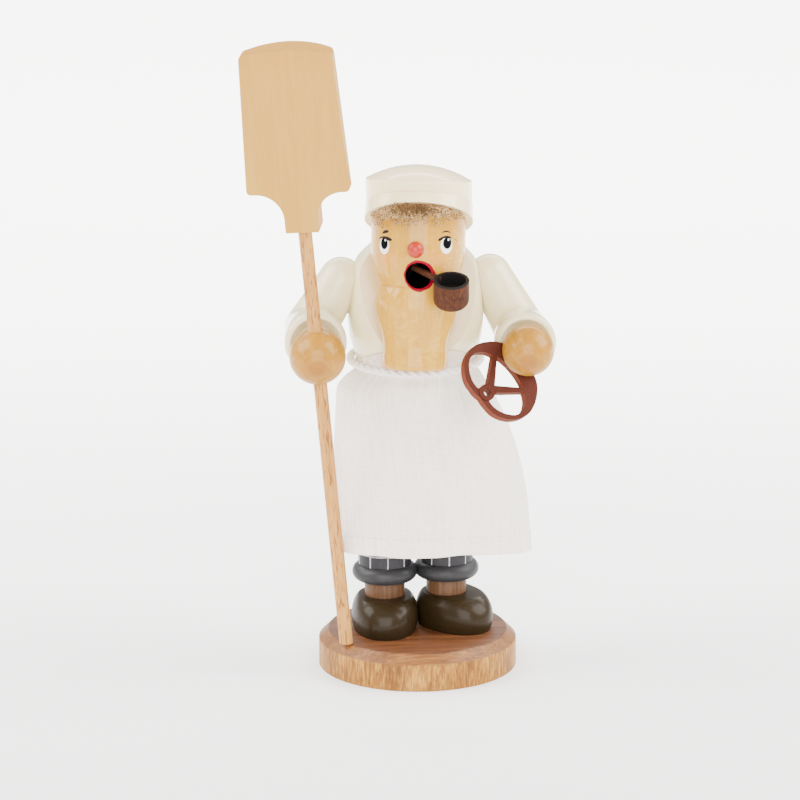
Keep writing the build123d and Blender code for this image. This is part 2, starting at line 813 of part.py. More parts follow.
hand_radii = {"right": peel_hand_radius, "left": pretzel_hand_radius}
hand_drops = {"right": peel_hand_drop, "left": 0.0}
hand_centres = {}
elbow_dowel_frames = {}
for side, (sign, raised) in arms.items():
    shoulder, elbow, cuff = arm_points(sign, raised)
    upper_run = elbow - shoulder
    upper_dir = upper_run.normalized()
    fore_dir = (cuff - elbow).normalized()
    mitre = Plane(origin=elbow, z_dir=(upper_dir + fore_dir).normalized())
    elbow_dowel_frames[side] = mitre
    arm_frame = Plane(origin=shoulder, x_dir=upper.y_dir, z_dir=upper_dir)
    fore_frame = Plane(origin=elbow, x_dir=upper.x_dir, z_dir=fore_dir)
    hand_centre = cuff + fore_dir * hand_reach - Vector(0, 0, hand_drops[side])
    hand_centres[side] = hand_centre

    with BuildPart() as upper_arm:
        with BuildSketch(section_of(arm_frame)):
            with BuildLine():
                Polyline(
                    (0, -shoulder_radius),
                    (0, upper_run.length + 2 * elbow_radius),
                    (elbow_radius, upper_run.length + 2 * elbow_radius),
                    (elbow_radius, upper_run.length),
                    (shoulder_radius, 0),
                )
                ThreePointArc(
                    (shoulder_radius, 0),
                    (shoulder_radius * sqrt(0.5), -shoulder_radius * sqrt(0.5)),
                    (0, -shoulder_radius),
                )
            make_face()
        revolve(axis=Axis(shoulder, upper_dir))
        split(bisect_by=mitre.offset(-glue_gap), keep=Keep.BOTTOM)
        add(torso_space.part, mode=Mode.SUBTRACT)
        with BuildSketch(arm_dowel_frames[side].offset(arm_dowel_in_arm + glue_gap)):
            Circle(arm_dowel_radius + glue_gap)
        extrude(amount=-arm_dowel_in_torso - arm_dowel_in_arm, mode=Mode.SUBTRACT)
        with BuildSketch(mitre):
            Circle(elbow_dowel_radius + glue_gap)
        extrude(amount=elbow_dowel_length / 2 + glue_gap, both=True, mode=Mode.SUBTRACT)
    finish(upper_arm.part, f"{side}_upper_arm")

    with BuildPart() as forearm:
        with BuildSketch(section_of(fore_frame)):
            with BuildLine():
                Polyline(
                    (0, -2 * elbow_radius),
                    (elbow_radius, -2 * elbow_radius),
                    (elbow_radius, 0),
                )
                Spline(
                    (elbow_radius, 0),
                    ((elbow_radius + cuff_radius) / 2, forearm_length / 2),
                    (cuff_radius, forearm_length - cuff_round),
                    tangents=[(0, 1), (0, 1)],
                )
                RadiusArc(
                    (cuff_radius, forearm_length - cuff_round),
                    (cuff_radius - cuff_round, forearm_length),
                    -cuff_round,
                )
                Polyline(
                    (cuff_radius - cuff_round, forearm_length),
                    (cuff_mouth_radius, forearm_length),
                    (cuff_mouth_radius - cuff_mouth_depth, forearm_length - cuff_mouth_depth),
                    (0, forearm_length - cuff_mouth_depth),
                    (0, -2 * elbow_radius),
                )
            make_face()
        revolve(axis=Axis(elbow, fore_dir))
        split(bisect_by=mitre.offset(glue_gap), keep=Keep.TOP)
        with BuildSketch(mitre):
            Circle(elbow_dowel_radius + glue_gap)
        extrude(amount=elbow_dowel_length / 2 + glue_gap, both=True, mode=Mode.SUBTRACT)
        with BuildSketch(Plane(origin=hand_centre, z_dir=fore_dir * -1)):
            Circle(hand_peg_radius + glue_gap)
        extrude(amount=hand_radii[side] + hand_peg_length, mode=Mode.SUBTRACT)
        with Locations(hand_centre):
            Sphere(hand_radii[side] + glue_gap, mode=Mode.SUBTRACT)
    finish(forearm.part, f"{side}_forearm")

with BuildPart() as shoulder_dowels:
    for frame in arm_dowel_frames.values():
        with BuildSketch(frame.offset(-arm_dowel_in_torso)):
            Circle(arm_dowel_radius)
        extrude(amount=arm_dowel_in_torso + arm_dowel_in_arm)
finish(shoulder_dowels.part, "shoulder_dowels")

with BuildPart() as elbow_dowels:
    for frame in elbow_dowel_frames.values():
        with BuildSketch(frame):
            Circle(elbow_dowel_radius)
        extrude(amount=elbow_dowel_length / 2, both=True)
finish(elbow_dowels.part, "elbow_dowels")

# The peel runs from its foot on the base through the middle of the right hand.
peel_foot = Vector(peel_foot_x, peel_foot_y, base_height + peel_foot_gap)
peel_dir = (hand_centres["right"] - peel_foot).normalized()
blade_side = Vector(*turned_dir(blade_turn))
blade_side = (blade_side - peel_dir * blade_side.dot(peel_dir)).normalized()
peel_frame = Plane(origin=peel_foot, x_dir=blade_side, z_dir=peel_dir)
blade_origin = peel_frame.from_local_coords(Vector(0, 0, blade_neck_height))
blade_front = Plane(origin=blade_origin, x_dir=blade_side, z_dir=-peel_frame.y_dir)

with BuildPart() as pipe_stem:
    with BuildSketch(section_of(stem_frame)):
        with BuildLine():
            Polyline(
                (0, 0),
                (pipe_stem_radius, 0),
                (pipe_stem_tip_radius, stem_length),
                (0, stem_length),
                close=True,
            )
        make_face()
    revolve(axis=Axis(stem_root, stem_run))
finish(pipe_stem.part, "pipe_stem")

with BuildPart() as pipe_bowl:
    with BuildSketch(section_of(bowl_frame)):
        with BuildLine():
            Line((0, 0), (pipe_bowl_radius - pipe_bowl_round, 0))
            RadiusArc(
                (pipe_bowl_radius - pipe_bowl_round, 0),
                (pipe_bowl_radius, pipe_bowl_round),
                -pipe_bowl_round,
            )
            Polyline(
                (pipe_bowl_radius, pipe_bowl_round),
                (pipe_bowl_radius, pipe_bowl_height),
                (pipe_bowl_radius - pipe_bowl_rim, pipe_bowl_height),
                (pipe_bowl_radius - pipe_bowl_rim, pipe_bowl_height - pipe_bowl_depth),
                (0, pipe_bowl_height - pipe_bowl_depth),
                (0, 0),
            )
        make_face()
    revolve(axis=Axis(bowl_frame.origin, bowl_frame.z_dir))
    with BuildSketch(stem_frame):
        Circle(pipe_stem_radius + glue_gap)
    extrude(amount=pipe_bowl_rim + pipe_stem_radius, mode=Mode.SUBTRACT)
finish(pipe_bowl.part, "pipe_bowl")

# Pretzel: a flat plate let into the back of the left hand
face_dir = Vector(*pretzel_face).normalized()
lean_dir = Vector(*pretzel_lean)
lean_dir = (lean_dir - face_dir * lean_dir.dot(face_dir)).normalized()
pretzel_origin = (
    hand_centres["left"]
    - face_dir * pretzel_behind_hand
    - lean_dir * pretzel_loop_down
    + lean_dir.cross(face_dir) * pretzel_loop_side
)
pretzel_frame = Plane(origin=pretzel_origin, x_dir=lean_dir.cross(face_dir), z_dir=face_dir)


def shared(points, sign=1):
    """Points given as shares of the pretzel's half width and height."""
    return [(sign * x * pretzel_half_width, y * pretzel_height) for x, y in points]


with BuildPart() as pretzel:
    with BuildSketch(pretzel_frame):
        with BuildLine():
            right_rim = shared(pretzel_rim_shares)
            Spline(*right_rim, tangents=[(1, -pretzel_foot_slope_share), (-1, 0)])
            left_rim = shared(pretzel_rim_shares, -1)
            Spline(*reversed(left_rim), tangents=[(-1, 0), (1, pretzel_foot_slope_share)])
        make_face()
        for sign in (1, -1):
            with BuildSketch(mode=Mode.SUBTRACT):
                with BuildLine():
                    side_points = shared(pretzel_side_shares, sign)
                    Spline(*side_points)
                    Polyline(side_points[-1], *shared((pretzel_side_inner_shares,), sign), side_points[0])
                make_face()
        with BuildSketch(mode=Mode.SUBTRACT):
            with BuildLine():
                right_top = shared(pretzel_middle_shares)
                left_top = shared(pretzel_middle_shares[:-1], -1)
                Spline(*right_top, *reversed(left_top))
                Polyline(left_top[0], (0, pretzel_middle_low_share * pretzel_height), right_top[0])
            make_face()
        Circle(pretzel_loop_radius)
        Circle(pretzel_loop_bore, mode=Mode.SUBTRACT)
    extrude(amount=-pretzel_thickness)
    with BuildSketch(pretzel_frame):
        Circle(pretzel_loop_radius)
        Circle(pretzel_loop_bore, mode=Mode.SUBTRACT)
    extrude(amount=pretzel_loop_stand)
finish(pretzel.part, "pretzel")

# Hands: the right one is bored for the rod, and the left one is notched for the pretzel.
with BuildPart() as pretzel_space:
    with BuildSketch(pretzel_frame.offset(glue_gap)):
        Circle(pretzel_height)
    extrude(amount=-pretzel_thickness - 2 * glue_gap)
    with BuildSketch(pretzel_frame.offset(overrun)):
        with Locations((0, pretzel_height * (1 + pretzel_rim_shares[-1][1]))):
            Rectangle(2 * pretzel_height, 2 * pretzel_height * (1 - pretzel_rim_shares[-1][1]) + glue_gap)
    extrude(amount=-pretzel_height, mode=Mode.SUBTRACT)

peg_frames = {
    side: Plane(origin=centre + upper.y_dir * (pretzel_behind_hand + pretzel_thickness), z_dir=upper.y_dir)
    for side, centre in hand_centres.items()
}

for side, centre in hand_centres.items():
    with BuildPart() as hand:
        with Locations(centre):
            Sphere(hand_radii[side])
        if side == "right":
            with BuildSketch(Plane(origin=centre, z_dir=peel_dir)):
                Circle(rod_radius + running_gap)
            extrude(amount=hand_radii[side] + overrun, both=True, mode=Mode.SUBTRACT)
        else:
            add(pretzel_space.part, mode=Mode.SUBTRACT)
        with BuildSketch(peg_frames[side].offset(-glue_gap)):
            Circle(hand_peg_radius + glue_gap)
        extrude(amount=hand_radii[side], mode=Mode.SUBTRACT)
    finish(hand.part, f"{side}_hand")

with BuildPart() as hand_pegs:
    for frame in peg_frames.values():
        with BuildSketch(frame):
            Circle(hand_peg_radius)
        extrude(amount=hand_peg_length)
finish(hand_pegs.part, "hand_pegs")

# Space that the chin and its glue line take from the apron's upper edge
with BuildPart() as chin_space:
    with BuildSketch(section_of(head_frame)):
        Rectangle(
            chin_foot_radius + chin_room,
            head_radius,
            align=(Align.MIN, Align.MIN),
        )
    revolve(axis=Axis(head_frame.origin, head_frame.z_dir))


def inside_of(left, front, right):
    """The same three places a cloth's thickness nearer the middle of their arc."""
    with BuildLine(mode=Mode.PRIVATE) as outer_edge:
        ThreePointArc(left, front, right)
    centre = outer_edge.edges()[0].arc_center
    rays = [Vector(*point) - centre for point in (left, front, right)]
    return [centre + ray * (1 - cloth / ray.length) for ray in rays]


def apron_section(share):
    """Left, front and right places of the apron's outer face, from its hip to its hem."""
    flare = 1 - (1 - share) ** apron_flare
    left = (
        -apron_hip_radius - (apron_hem_left - apron_hip_radius) * flare,
        -apron_side_back - (apron_hem_left_back - apron_side_back) * share,
    )
    right = (
        apron_hip_radius + (apron_hem_right - apron_hip_radius) * flare,
        -apron_side_back - (apron_hem_right_back - apron_side_back) * share,
    )
    front = (
        (left[0] + right[0]) / 2,
        -apron_hip_radius - (apron_hem_front - apron_hip_radius) * flare,
    )
    return left, front, right


def round_section(radius):
    """The same three places where the apron lies round the torso."""
    side_out = sqrt(radius**2 - apron_side_back**2)
    return (-side_out, -apron_side_back), (0, -radius), (side_out, -apron_side_back)


waist_out = torso_waist_radius + cloth_gap + cloth
apron_levels = [
    (apron_top, round_section(apron_top_radius)),
    (cord_height + cord_radius, round_section(waist_out + cloth_gap)),
    (cord_height - cord_radius, round_section(waist_out)),
    (hip_top, round_section(apron_hip_radius)),
]
for share in apron_section_shares:
    apron_levels.append((hip_top - (hip_top - apron_hem) * share, apron_section(share)))

with BuildPart() as apron:
    for level, (left, front, right) in apron_levels:
        with BuildSketch(upper.offset(level - hip_top)):
            with BuildLine():
                inner_left, inner_front, inner_right = inside_of(left, front, right)
                ThreePointArc(left, front, right)
                Line(right, inner_right)
                ThreePointArc(inner_right, inner_front, inner_left)
                Line(inner_left, left)
            make_face()
    loft(ruled=True)
    add(torso_space.part, mode=Mode.SUBTRACT)
    add(chin_space.part, mode=Mode.SUBTRACT)
finish(apron.part, "apron")

cord_ring_radius = waist_out + 2 * cloth_gap + cord_radius
cord_frame = upper.offset(cord_height - hip_top)
with BuildPart() as waist_cord:
    with BuildSketch(section_of(cord_frame)):
        with Locations((cord_ring_radius, 0)):
            Circle(cord_radius)
    revolve(axis=Axis(cord_frame.origin, up))
finish(waist_cord.part, "waist_cord")

# Knot at the back of the waist, with its two short ends hanging down
knot_centre = cord_frame.from_local_coords(Vector(0, cord_ring_radius, 0))
with BuildPart() as waist_knot:
    with BuildSketch(Plane(origin=knot_centre - upper.x_dir * knot_length / 2, z_dir=upper.x_dir)):
        Circle(knot_radius)
    extrude(amount=knot_length)
    fillet(waist_knot.edges().filter_by(GeomType.CIRCLE), knot_radius / 2)
    for sign in (1, -1):
        tail_lean = radians(sign * tail_spread)
        tail_run = upper.x_dir * sin(tail_lean) - upper.z_dir * cos(tail_lean)
        with BuildSketch(Plane(origin=knot_centre + upper.x_dir * (sign * tail_radius), z_dir=tail_run)):
            Circle(tail_radius)
        extrude(amount=tail_length)
    with BuildSketch(section_of(cord_frame)):
        with Locations((cord_ring_radius, 0)):
            Circle(cord_radius + glue_gap)
    revolve(axis=Axis(cord_frame.origin, up), mode=Mode.SUBTRACT)
    add(torso_space.part, mode=Mode.SUBTRACT)
finish(waist_knot.part, "waist_knot")

# Peel: a rod let into the neck of the blade
with BuildPart() as peel_rod:
    with BuildSketch(peel_frame.offset(-rod_radius)):
        Circle(rod_radius)
    extrude(amount=blade_neck_height + rod_in_blade + rod_radius)
    split(bisect_by=Plane.XY.offset(base_height + peel_foot_gap), keep=Keep.TOP)
finish(peel_rod.part, "peel_rod")

with BuildPart() as peel_blade:
    with BuildSketch(blade_front.offset(-blade_thickness / 2)):
        with BuildLine():
            bend = blade_shoulder - blade_shoulder_radius
            slant = blade_shoulder_radius * sqrt(0.5)
            arc_middle = (blade_neck_half + blade_shoulder_radius - slant, bend + slant)
            arc_end = (blade_neck_half + blade_shoulder_radius, blade_shoulder)
            Polyline((0, 0), (blade_neck_half, 0), (blade_neck_half, bend))
            ThreePointArc((blade_neck_half, bend), arc_middle, arc_end)
            Polyline(arc_end, (blade_low_half, blade_shoulder), (blade_top_half, blade_height))
            ThreePointArc(
                (blade_top_half, blade_height),
                (0, blade_height + blade_crown),
                (-blade_top_half, blade_height),
            )
            Polyline(
                (-blade_top_half, blade_height),
                (-blade_low_half, blade_shoulder),
                (-arc_end[0], arc_end[1]),
            )
            ThreePointArc(
                (-arc_end[0], arc_end[1]),
                (-arc_middle[0], arc_middle[1]),
                (-blade_neck_half, bend),
            )
            Polyline((-blade_neck_half, bend), (-blade_neck_half, 0), (0, 0))
        make_face()
    extrude(amount=blade_thickness)
    across_edges = peel_blade.edges().filter_by(Axis((0, 0, 0), blade_front.z_dir))
    corner_edges = across_edges.filter_by(
        lambda edge: abs(blade_front.to_local_coords(edge.center()).X) > arc_end[0]
    )
    fillet(corner_edges, blade_corner)
    # The front is flat and the back is rounded from side to side.
    with BuildSketch(Plane(origin=blade_origin, x_dir=blade_side, z_dir=peel_dir).offset(-overrun)):
        with BuildLine():
            side_depth = blade_edge_thickness - blade_thickness / 2
            front_depth = -blade_thickness / 2 - overrun
            Polyline(
                (-blade_low_half, side_depth),
                (-blade_low_half, front_depth),
                (blade_low_half, front_depth),
                (blade_low_half, side_depth),
            )
            ThreePointArc(
                (blade_low_half, side_depth),
                (0, blade_thickness / 2),
                (-blade_low_half, side_depth),
            )
        make_face()
    extrude(amount=blade_height + blade_crown + 2 * overrun, mode=Mode.INTERSECT)
    with BuildSketch(Plane(origin=blade_origin, z_dir=peel_dir)):
        Circle(rod_radius + glue_gap)
    extrude(amount=rod_in_blade + glue_gap, mode=Mode.SUBTRACT)
finish(peel_blade.part, "peel_blade")
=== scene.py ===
# Incense smoker figure, a baker with a bread peel: paints, woods, cloth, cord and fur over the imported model
import math

import bmesh
import bpy
from mathutils import Matrix, Vector


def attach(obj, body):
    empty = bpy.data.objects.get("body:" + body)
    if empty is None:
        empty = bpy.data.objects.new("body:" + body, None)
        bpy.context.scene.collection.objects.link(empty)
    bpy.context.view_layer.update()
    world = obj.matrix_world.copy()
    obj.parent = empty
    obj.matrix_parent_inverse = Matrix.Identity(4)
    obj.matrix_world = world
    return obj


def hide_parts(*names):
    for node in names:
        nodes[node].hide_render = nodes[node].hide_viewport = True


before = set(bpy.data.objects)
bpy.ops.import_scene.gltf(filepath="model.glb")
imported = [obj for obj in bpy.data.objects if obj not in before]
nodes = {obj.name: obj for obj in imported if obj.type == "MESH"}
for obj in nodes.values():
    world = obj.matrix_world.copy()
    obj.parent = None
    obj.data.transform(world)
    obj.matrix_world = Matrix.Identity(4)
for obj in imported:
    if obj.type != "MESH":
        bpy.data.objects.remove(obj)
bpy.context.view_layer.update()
mm = 0.001
print("frame loaded:", len(nodes), "nodes")


# node graphs

class Flow:
    # a socket that can be used in Python sums
    def __init__(self, graph, socket):
        self.graph = graph
        self.socket = socket

    def math(self, operation, *others):
        return self.graph.node("ShaderNodeMath", {"operation": operation}, dict(enumerate((self,) + others)))

    def __add__(self, other):
        return self.math("ADD", other)

    def __sub__(self, other):
        return self.math("SUBTRACT", other)

    def __mul__(self, other):
        return self.math("MULTIPLY", other)

    def __truediv__(self, other):
        return self.math("DIVIDE", other)

    def __radd__(self, other):
        return self.math("ADD", other)

    def __rmul__(self, other):
        return self.math("MULTIPLY", other)

    def __rsub__(self, other):
        return self.graph.node("ShaderNodeMath", {"operation": "SUBTRACT"}, {0: other, 1: self})

    def __neg__(self):
        return self * -1

    def __abs__(self):
        return self.math("ABSOLUTE")

    def low(self, other):
        return self.math("MINIMUM", other)

    def clip(self):
        return self.math("MAXIMUM", 0).math("MINIMUM", 1)


def spanOf(x, y):
    # how far a point lies from the middle
    return (x * x + y * y).math("SQRT")


class Graph:
    # one node tree, whether a material or a modifier
    def __init__(self, tree):
        self.tree = tree

    def node(self, kind, settings=None, values=None, out=0):
        made = self.tree.nodes.new(kind)
        for key, value in (settings or {}).items():
            if key == "stops":
                ramp = made.color_ramp
                while len(ramp.elements) < len(value):
                    ramp.elements.new(0.5)
                for element, (place, colour) in zip(ramp.elements, value):
                    element.position = place
                    element.color = (*colour, 1)
            else:
                setattr(made, key, value)
        for key, value in (values or {}).items():
            self.feed(made.inputs[key], value)
        return Flow(self, made.outputs[out])

    def feed(self, socket, value):
        if isinstance(value, Flow):
            self.tree.links.new(value.socket, socket)
        elif socket.type == "RGBA":
            socket.default_value = (*value, 1)
        else:
            socket.default_value = value


class Finish(Graph):
    # a material with one Principled shader
    def __init__(self, name):
        self.material = bpy.data.materials.new(name)
        self.material.use_nodes = True
        super().__init__(self.material.node_tree)
        self.shader = self.tree.nodes["Principled BSDF"]
        self.spot = self.node("ShaderNodeVectorMath", {"operation": "SCALE"}, {
            0: self.node("ShaderNodeTexCoord", out="Object"), "Scale": 1 / mm})

    def along(self, direction, origin=(0, 0, 0)):
        # millimetres along a direction from an origin, both in the frame's own axes
        shift = -Vector(direction).dot(Vector(origin))
        return self.node("ShaderNodeVectorMath", {"operation": "DOT_PRODUCT"}, {
            0: self.spot, 1: tuple(direction)}, "Value") + shift

    def vector(self, x, y, z):
        return self.node("ShaderNodeCombineXYZ", None, {0: x, 1: y, 2: z})

    def noise(self, vector, scale, detail=3, roughness=0.5):
        return self.node("ShaderNodeTexNoise", {"noise_dimensions": "3D"}, {
            "Vector": vector, "Scale": scale, "Detail": detail, "Roughness": roughness})

    def mix(self, share, first, second):
        # a Mix node has its colours on sockets 6 and 7 and on its third output
        made = self.tree.nodes.new("ShaderNodeMix")
        made.data_type = "RGBA"
        self.feed(made.inputs[0], share)
        self.feed(made.inputs[6], first)
        self.feed(made.inputs[7], second)
        return Flow(self, made.outputs[2])

    def ramp(self, value, stops):
        return self.node("ShaderNodeValToRGB", {"stops": stops}, {0: value})

    def bump(self, height, strength, distance):
        return self.node("ShaderNodeBump", None, {
            "Strength": strength, "Distance": distance * mm, "Height": height})

    def oval(self, across, up, x, y, halfWidth, halfHeight, soft):
        # 1 inside an ellipse, 0 outside, with an edge soft millimetres wide
        reach = spanOf((across - x) / halfWidth, (up - y) / halfHeight)
        return ((1 - reach) * (min(halfWidth, halfHeight) / soft) + 0.5).clip()

    def stroke(self, across, up, points, halfWidth, soft):
        # a painted line from left to right through two or three points, thinner at its ends
        (x0, y0), (x1, y1) = points[0], points[-1]
        share = ((across - x0) / (x1 - x0)).clip()
        rise = up - (y0 + (y1 - y0) * share)
        if len(points) == 3:
            middle = points[1][1] - (y0 + y1) / 2
            rise = rise - share * (1 - share) * (4 * middle)
        taper = (share * (1 - share) * 4).math("SQRT") * halfWidth
        inside = (across - x0).math("GREATER_THAN", 0) * (x1 - across).math("GREATER_THAN", 0)
        return ((taper - abs(rise)) / soft + 0.5).clip() * inside

    def set(self, **values):
        for key, value in values.items():
            self.feed(self.shader.inputs[key.replace("_", " ")], value)
        return self.material


def axes(lean=(0, 0, 1), side=(1, 0, 0)):
    # three square directions, the last along lean
    up = Vector(lean).normalized()
    across = (Vector(side) - up * Vector(side).dot(up)).normalized()
    return across, up.cross(across), up


def dress(names, material):
    for name in names:
        mesh = nodes[name].data
        mesh.materials.clear()
        mesh.materials.append(material)
        mesh.polygons.foreach_set("material_index", [0] * len(mesh.polygons))


# camera, light and floor

camera = {"place": (0, -1600, 525), "pitch": 15.46, "lens": 248, "sensor": 36, "shift": -17.5 / 800,
          "clipEnd": 50}
shot = bpy.data.objects.new("camera", bpy.data.cameras.new("camera"))
shot.data.lens = camera["lens"]
shot.data.sensor_width = camera["sensor"]
shot.data.shift_x = camera["shift"]
shot.data.clip_end = camera["clipEnd"]
shot.location = Vector(camera["place"]) * mm
shot.rotation_euler = (math.radians(90 - camera["pitch"]), 0, 0)
bpy.context.scene.collection.objects.link(shot)
bpy.context.scene.camera = shot

lampTone = (1.0, 0.985, 0.96)
lamps = {
    "leftBox": {"place": (-1.02, -0.12, 0.90), "aim": (0, 0, 0.08), "size": 1.0, "power": 35.0},
    "rightBox": {"place": (1.06, -0.12, 0.88), "aim": (0, 0, 0.08), "size": 1.0, "power": 37.0},
    "frontSoft": {"place": (0.0, -1.8, 0.75), "aim": (0, 0, 0.08), "size": 1.6, "power": 62.0},
    "floorBack": {"place": (0.0, 0.95, 0.85), "aim": (0.0, 1.50, 0.0), "size": 1.5, "power": 85.0},
}
for name, lamp in lamps.items():
    light = bpy.data.lights.new(name, "AREA")
    light.size = lamp["size"]
    light.energy = lamp["power"]
    light.color = lampTone
    lampObject = bpy.data.objects.new(name, light)
    lampObject.location = lamp["place"]
    aim = Vector(lamp["aim"]) - Vector(lamp["place"])
    lampObject.rotation_mode = "QUATERNION"
    lampObject.rotation_quaternion = aim.to_track_quat("-Z", "Y")
    bpy.context.scene.collection.objects.link(lampObject)

backdrop = {"colour": (1, 1, 1, 1), "strength": 1.15}
world = bpy.context.scene.world or bpy.data.worlds.new("studio")
bpy.context.scene.world = world
world.use_nodes = True
sky = world.node_tree.nodes["Background"]
sky.inputs["Color"].default_value = backdrop["colour"]
sky.inputs["Strength"].default_value = backdrop["strength"]

floorShape = {"half": 6.0, "drop": 0.0001, "tone": (0.96, 0.96, 0.96), "roughness": 0.9}
half = floorShape["half"]
corners = [(-half, -half), (half, -half), (half, half), (-half, half)]
floorMesh = bpy.data.meshes.new("floor")
floorMesh.from_pydata([(x, y, -floorShape["drop"]) for x, y in corners], [], [(0, 1, 2, 3)])
floor = bpy.data.objects.new("floor", floorMesh)
bpy.context.scene.collection.objects.link(floor)
floorPaint = Finish("paleFloor")
floorMesh.materials.append(floorPaint.set(Base_Color=floorShape["tone"], Roughness=floorShape["roughness"]))
print("camera, lamps and floor set")


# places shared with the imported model, in millimetres

figure = {"x": -0.6, "y": 2.3, "lowerTurn": 10.5, "upperTurn": 4.9, "hipTop": 90.0}
legs = {"spacing": 19.0, "radius": 8.05, "foot": 31.3}
skull = {"origin": (-0.9, -20.4, 97.7), "back": 10.2, "side": 1.7, "turn": -4.0, "radius": 14.0,
         "mouth": (1.2, 28.6)}


def turned(degrees):
    # the level direction at this angle from straight right
    return Vector((math.cos(math.radians(degrees)), math.sin(math.radians(degrees)), 0))


upperSide = turned(figure["upperTurn"])
upperBack = Vector((-upperSide.y, upperSide.x, 0))
lowerSide = turned(figure["lowerTurn"])
lowerBack = Vector((-lowerSide.y, lowerSide.x, 0))
figureCentre = Vector((figure["x"], figure["y"], 0))
headLean = (math.tan(math.radians(skull["side"])), math.tan(math.radians(skull["back"])), 1)
headSide, headBack, headUp = axes(headLean, turned(skull["turn"]))


def upperPlace(x, y, z):
    # a place given in the upper figure's own frame
    return figureCentre + upperSide * x + upperBack * y + Vector((0, 0, z))


smokeWay = {"radius": 3.0, "over": 0.15, "sharp": 12, "mouthBack": -1.0, "chamberTop": 114.0}


def boreShade(finish):
    # 1 on the walls of the bored way from the chamber up to the mouth, where shade is painted
    mouthX, mouthZ = skull["mouth"]
    start = Vector(skull["origin"]) + headSide * mouthX + headUp * mouthZ + headBack * smokeWay["mouthBack"]
    end = upperPlace(0, 0, smokeWay["chamberTop"])
    x, y, deep = (finish.along(way, start) for way in axes(end - start))
    near = ((smokeWay["radius"] + smokeWay["over"] - spanOf(x, y)) * smokeWay["sharp"]).clip()
    return near * (deep + 0.5).clip()


# woods

grain = {
    "wanderWide": 0.05, "wanderLong": 0.012, "fineLong": 0.5, "toneStops": (0.12, 0.5, 0.86),
    "fleckSharp": 14, "fleckRaise": -0.6, "roughSwing": 0.12, "bumpDeep": 0.05,
}


def woodFinish(name, look):
    # look: pale and dark tones, grain direction, how far the grain stretches, flecks and gloss
    wood = Finish(name)
    ways = axes(look["grain"], look.get("side", (1, 0, 0)))
    x, y, z = (wood.along(way, look.get("origin", (0, 0, 0))) for way in ways)
    wide = grain["wanderWide"]
    wander = wood.noise(wood.vector(x * wide, y * wide, z * grain["wanderLong"]), 1.0, 2) - 0.5
    growth = wood.vector(x + wander * look["wander"], y + wander * look["wander"], z * look["stretch"])
    bands = wood.noise(growth, look["bands"], 4, 0.6)
    fine = wood.noise(wood.vector(x, y, z * look["stretch"] * grain["fineLong"]), look["fine"], 5, 0.65)
    wood.tone = (bands - 0.5) * look["bandShare"] + (fine - 0.5) * look["fineShare"] + 0.5
    tones = (look["dark"], look["middle"], look["pale"])
    colour = wood.ramp(wood.tone, list(zip(grain["toneStops"], tones)))
    wide = look["fleckWide"]
    fleck = wood.noise(wood.vector(x * wide, y * wide, z * look["fleckLong"]), 1.0, 1)
    fleck = ((fleck - look["fleckFrom"]) * grain["fleckSharp"]).clip() * look["fleckShare"]
    wood.colour = wood.mix(fleck, colour, look["fleckTone"])
    wood.set(Base_Color=wood.colour, Roughness=fine * grain["roughSwing"] + look["roughness"],
             Coat_Weight=look["coat"], Coat_Roughness=look["coatRough"], Specular_IOR_Level=look["shine"],
             Normal=wood.bump(fine + fleck * grain["fleckRaise"], look["bump"], grain["bumpDeep"]))
    return wood


beech = {
    "grain": (1, 0.12, 0.0), "wander": 6.0, "stretch": 0.07, "bands": 0.34, "fine": 1.7,
    "bandShare": 0.9, "fineShare": 1.3,
    "dark": (0.036, 0.0099, 0.0030), "middle": (0.094, 0.032, 0.0105), "pale": (0.195, 0.076, 0.026),
    "fleckWide": 2.1, "fleckLong": 0.22, "fleckFrom": 0.63, "fleckShare": 0.55,
    "fleckTone": (0.10, 0.030, 0.010), "roughness": 0.45, "coat": 0.06, "coatRough": 0.3, "bump": 0.3,
    "shine": 0.25,
}
linden = {
    "grain": (0, 0, 1), "wander": 5.0, "stretch": 0.08, "bands": 0.30, "fine": 2.4,
    "bandShare": 0.55, "fineShare": 0.5,
    "dark": (0.382, 0.176, 0.0180), "middle": (0.468, 0.238, 0.030), "pale": (0.538, 0.300, 0.051),
    "fleckWide": 2.6, "fleckLong": 0.5, "fleckFrom": 0.66, "fleckShare": 0.25,
    "fleckTone": (0.38, 0.15, 0.015), "roughness": 0.42, "coat": 0.0, "coatRough": 0.2, "bump": 0.18,
    "shine": 0.3,
}

# the base plate's turned side shows upright flecks and a more golden tone than its top
plate = {
    "sideTop": 8.4, "bevelTop": 10.9, "streaksRound": 30, "cloudsRound": 4, "specksRound": 58,
    "sideTones": [(0.30, (0.125, 0.042, 0.004)), (0.48, (0.235, 0.092, 0.008)), (0.68, (0.42, 0.205, 0.028))],
    "bevelTones": [(0.15, (0.087, 0.027, 0.0056)), (0.5, (0.161, 0.060, 0.0126)),
                   (0.85, (0.264, 0.115, 0.032))],
    "speckFrom": 0.625, "speckShare": 0.75, "speckTone": (0.09, 0.025, 0.004),
}
plateWood = woodFinish("baseBeech", beech)
plateRise = plateWood.along((0, 0, 1))
plateAngle = plateWood.along((0, 1, 0)).math("ARCTAN2", plateWood.along((1, 0, 0)))
streaks = plateWood.vector(plateAngle * plate["streaksRound"], 0.0, plateRise * 0.16)
clouds = plateWood.vector(plateAngle * plate["cloudsRound"], 7.0, plateRise * 0.05)
specks = plateWood.vector(plateAngle * plate["specksRound"], 3.0, plateRise * 0.3)
streaks = plateWood.noise(streaks, 1.25, 3, 0.6) + (plateWood.noise(clouds, 1.0, 2) - 0.5) * 0.5
specks = ((plateWood.noise(specks, 1.0, 1) - plate["speckFrom"]) * 16).clip() * plate["speckShare"]
golden = plateWood.mix(specks, plateWood.ramp(streaks, plate["sideTones"]), plate["speckTone"])
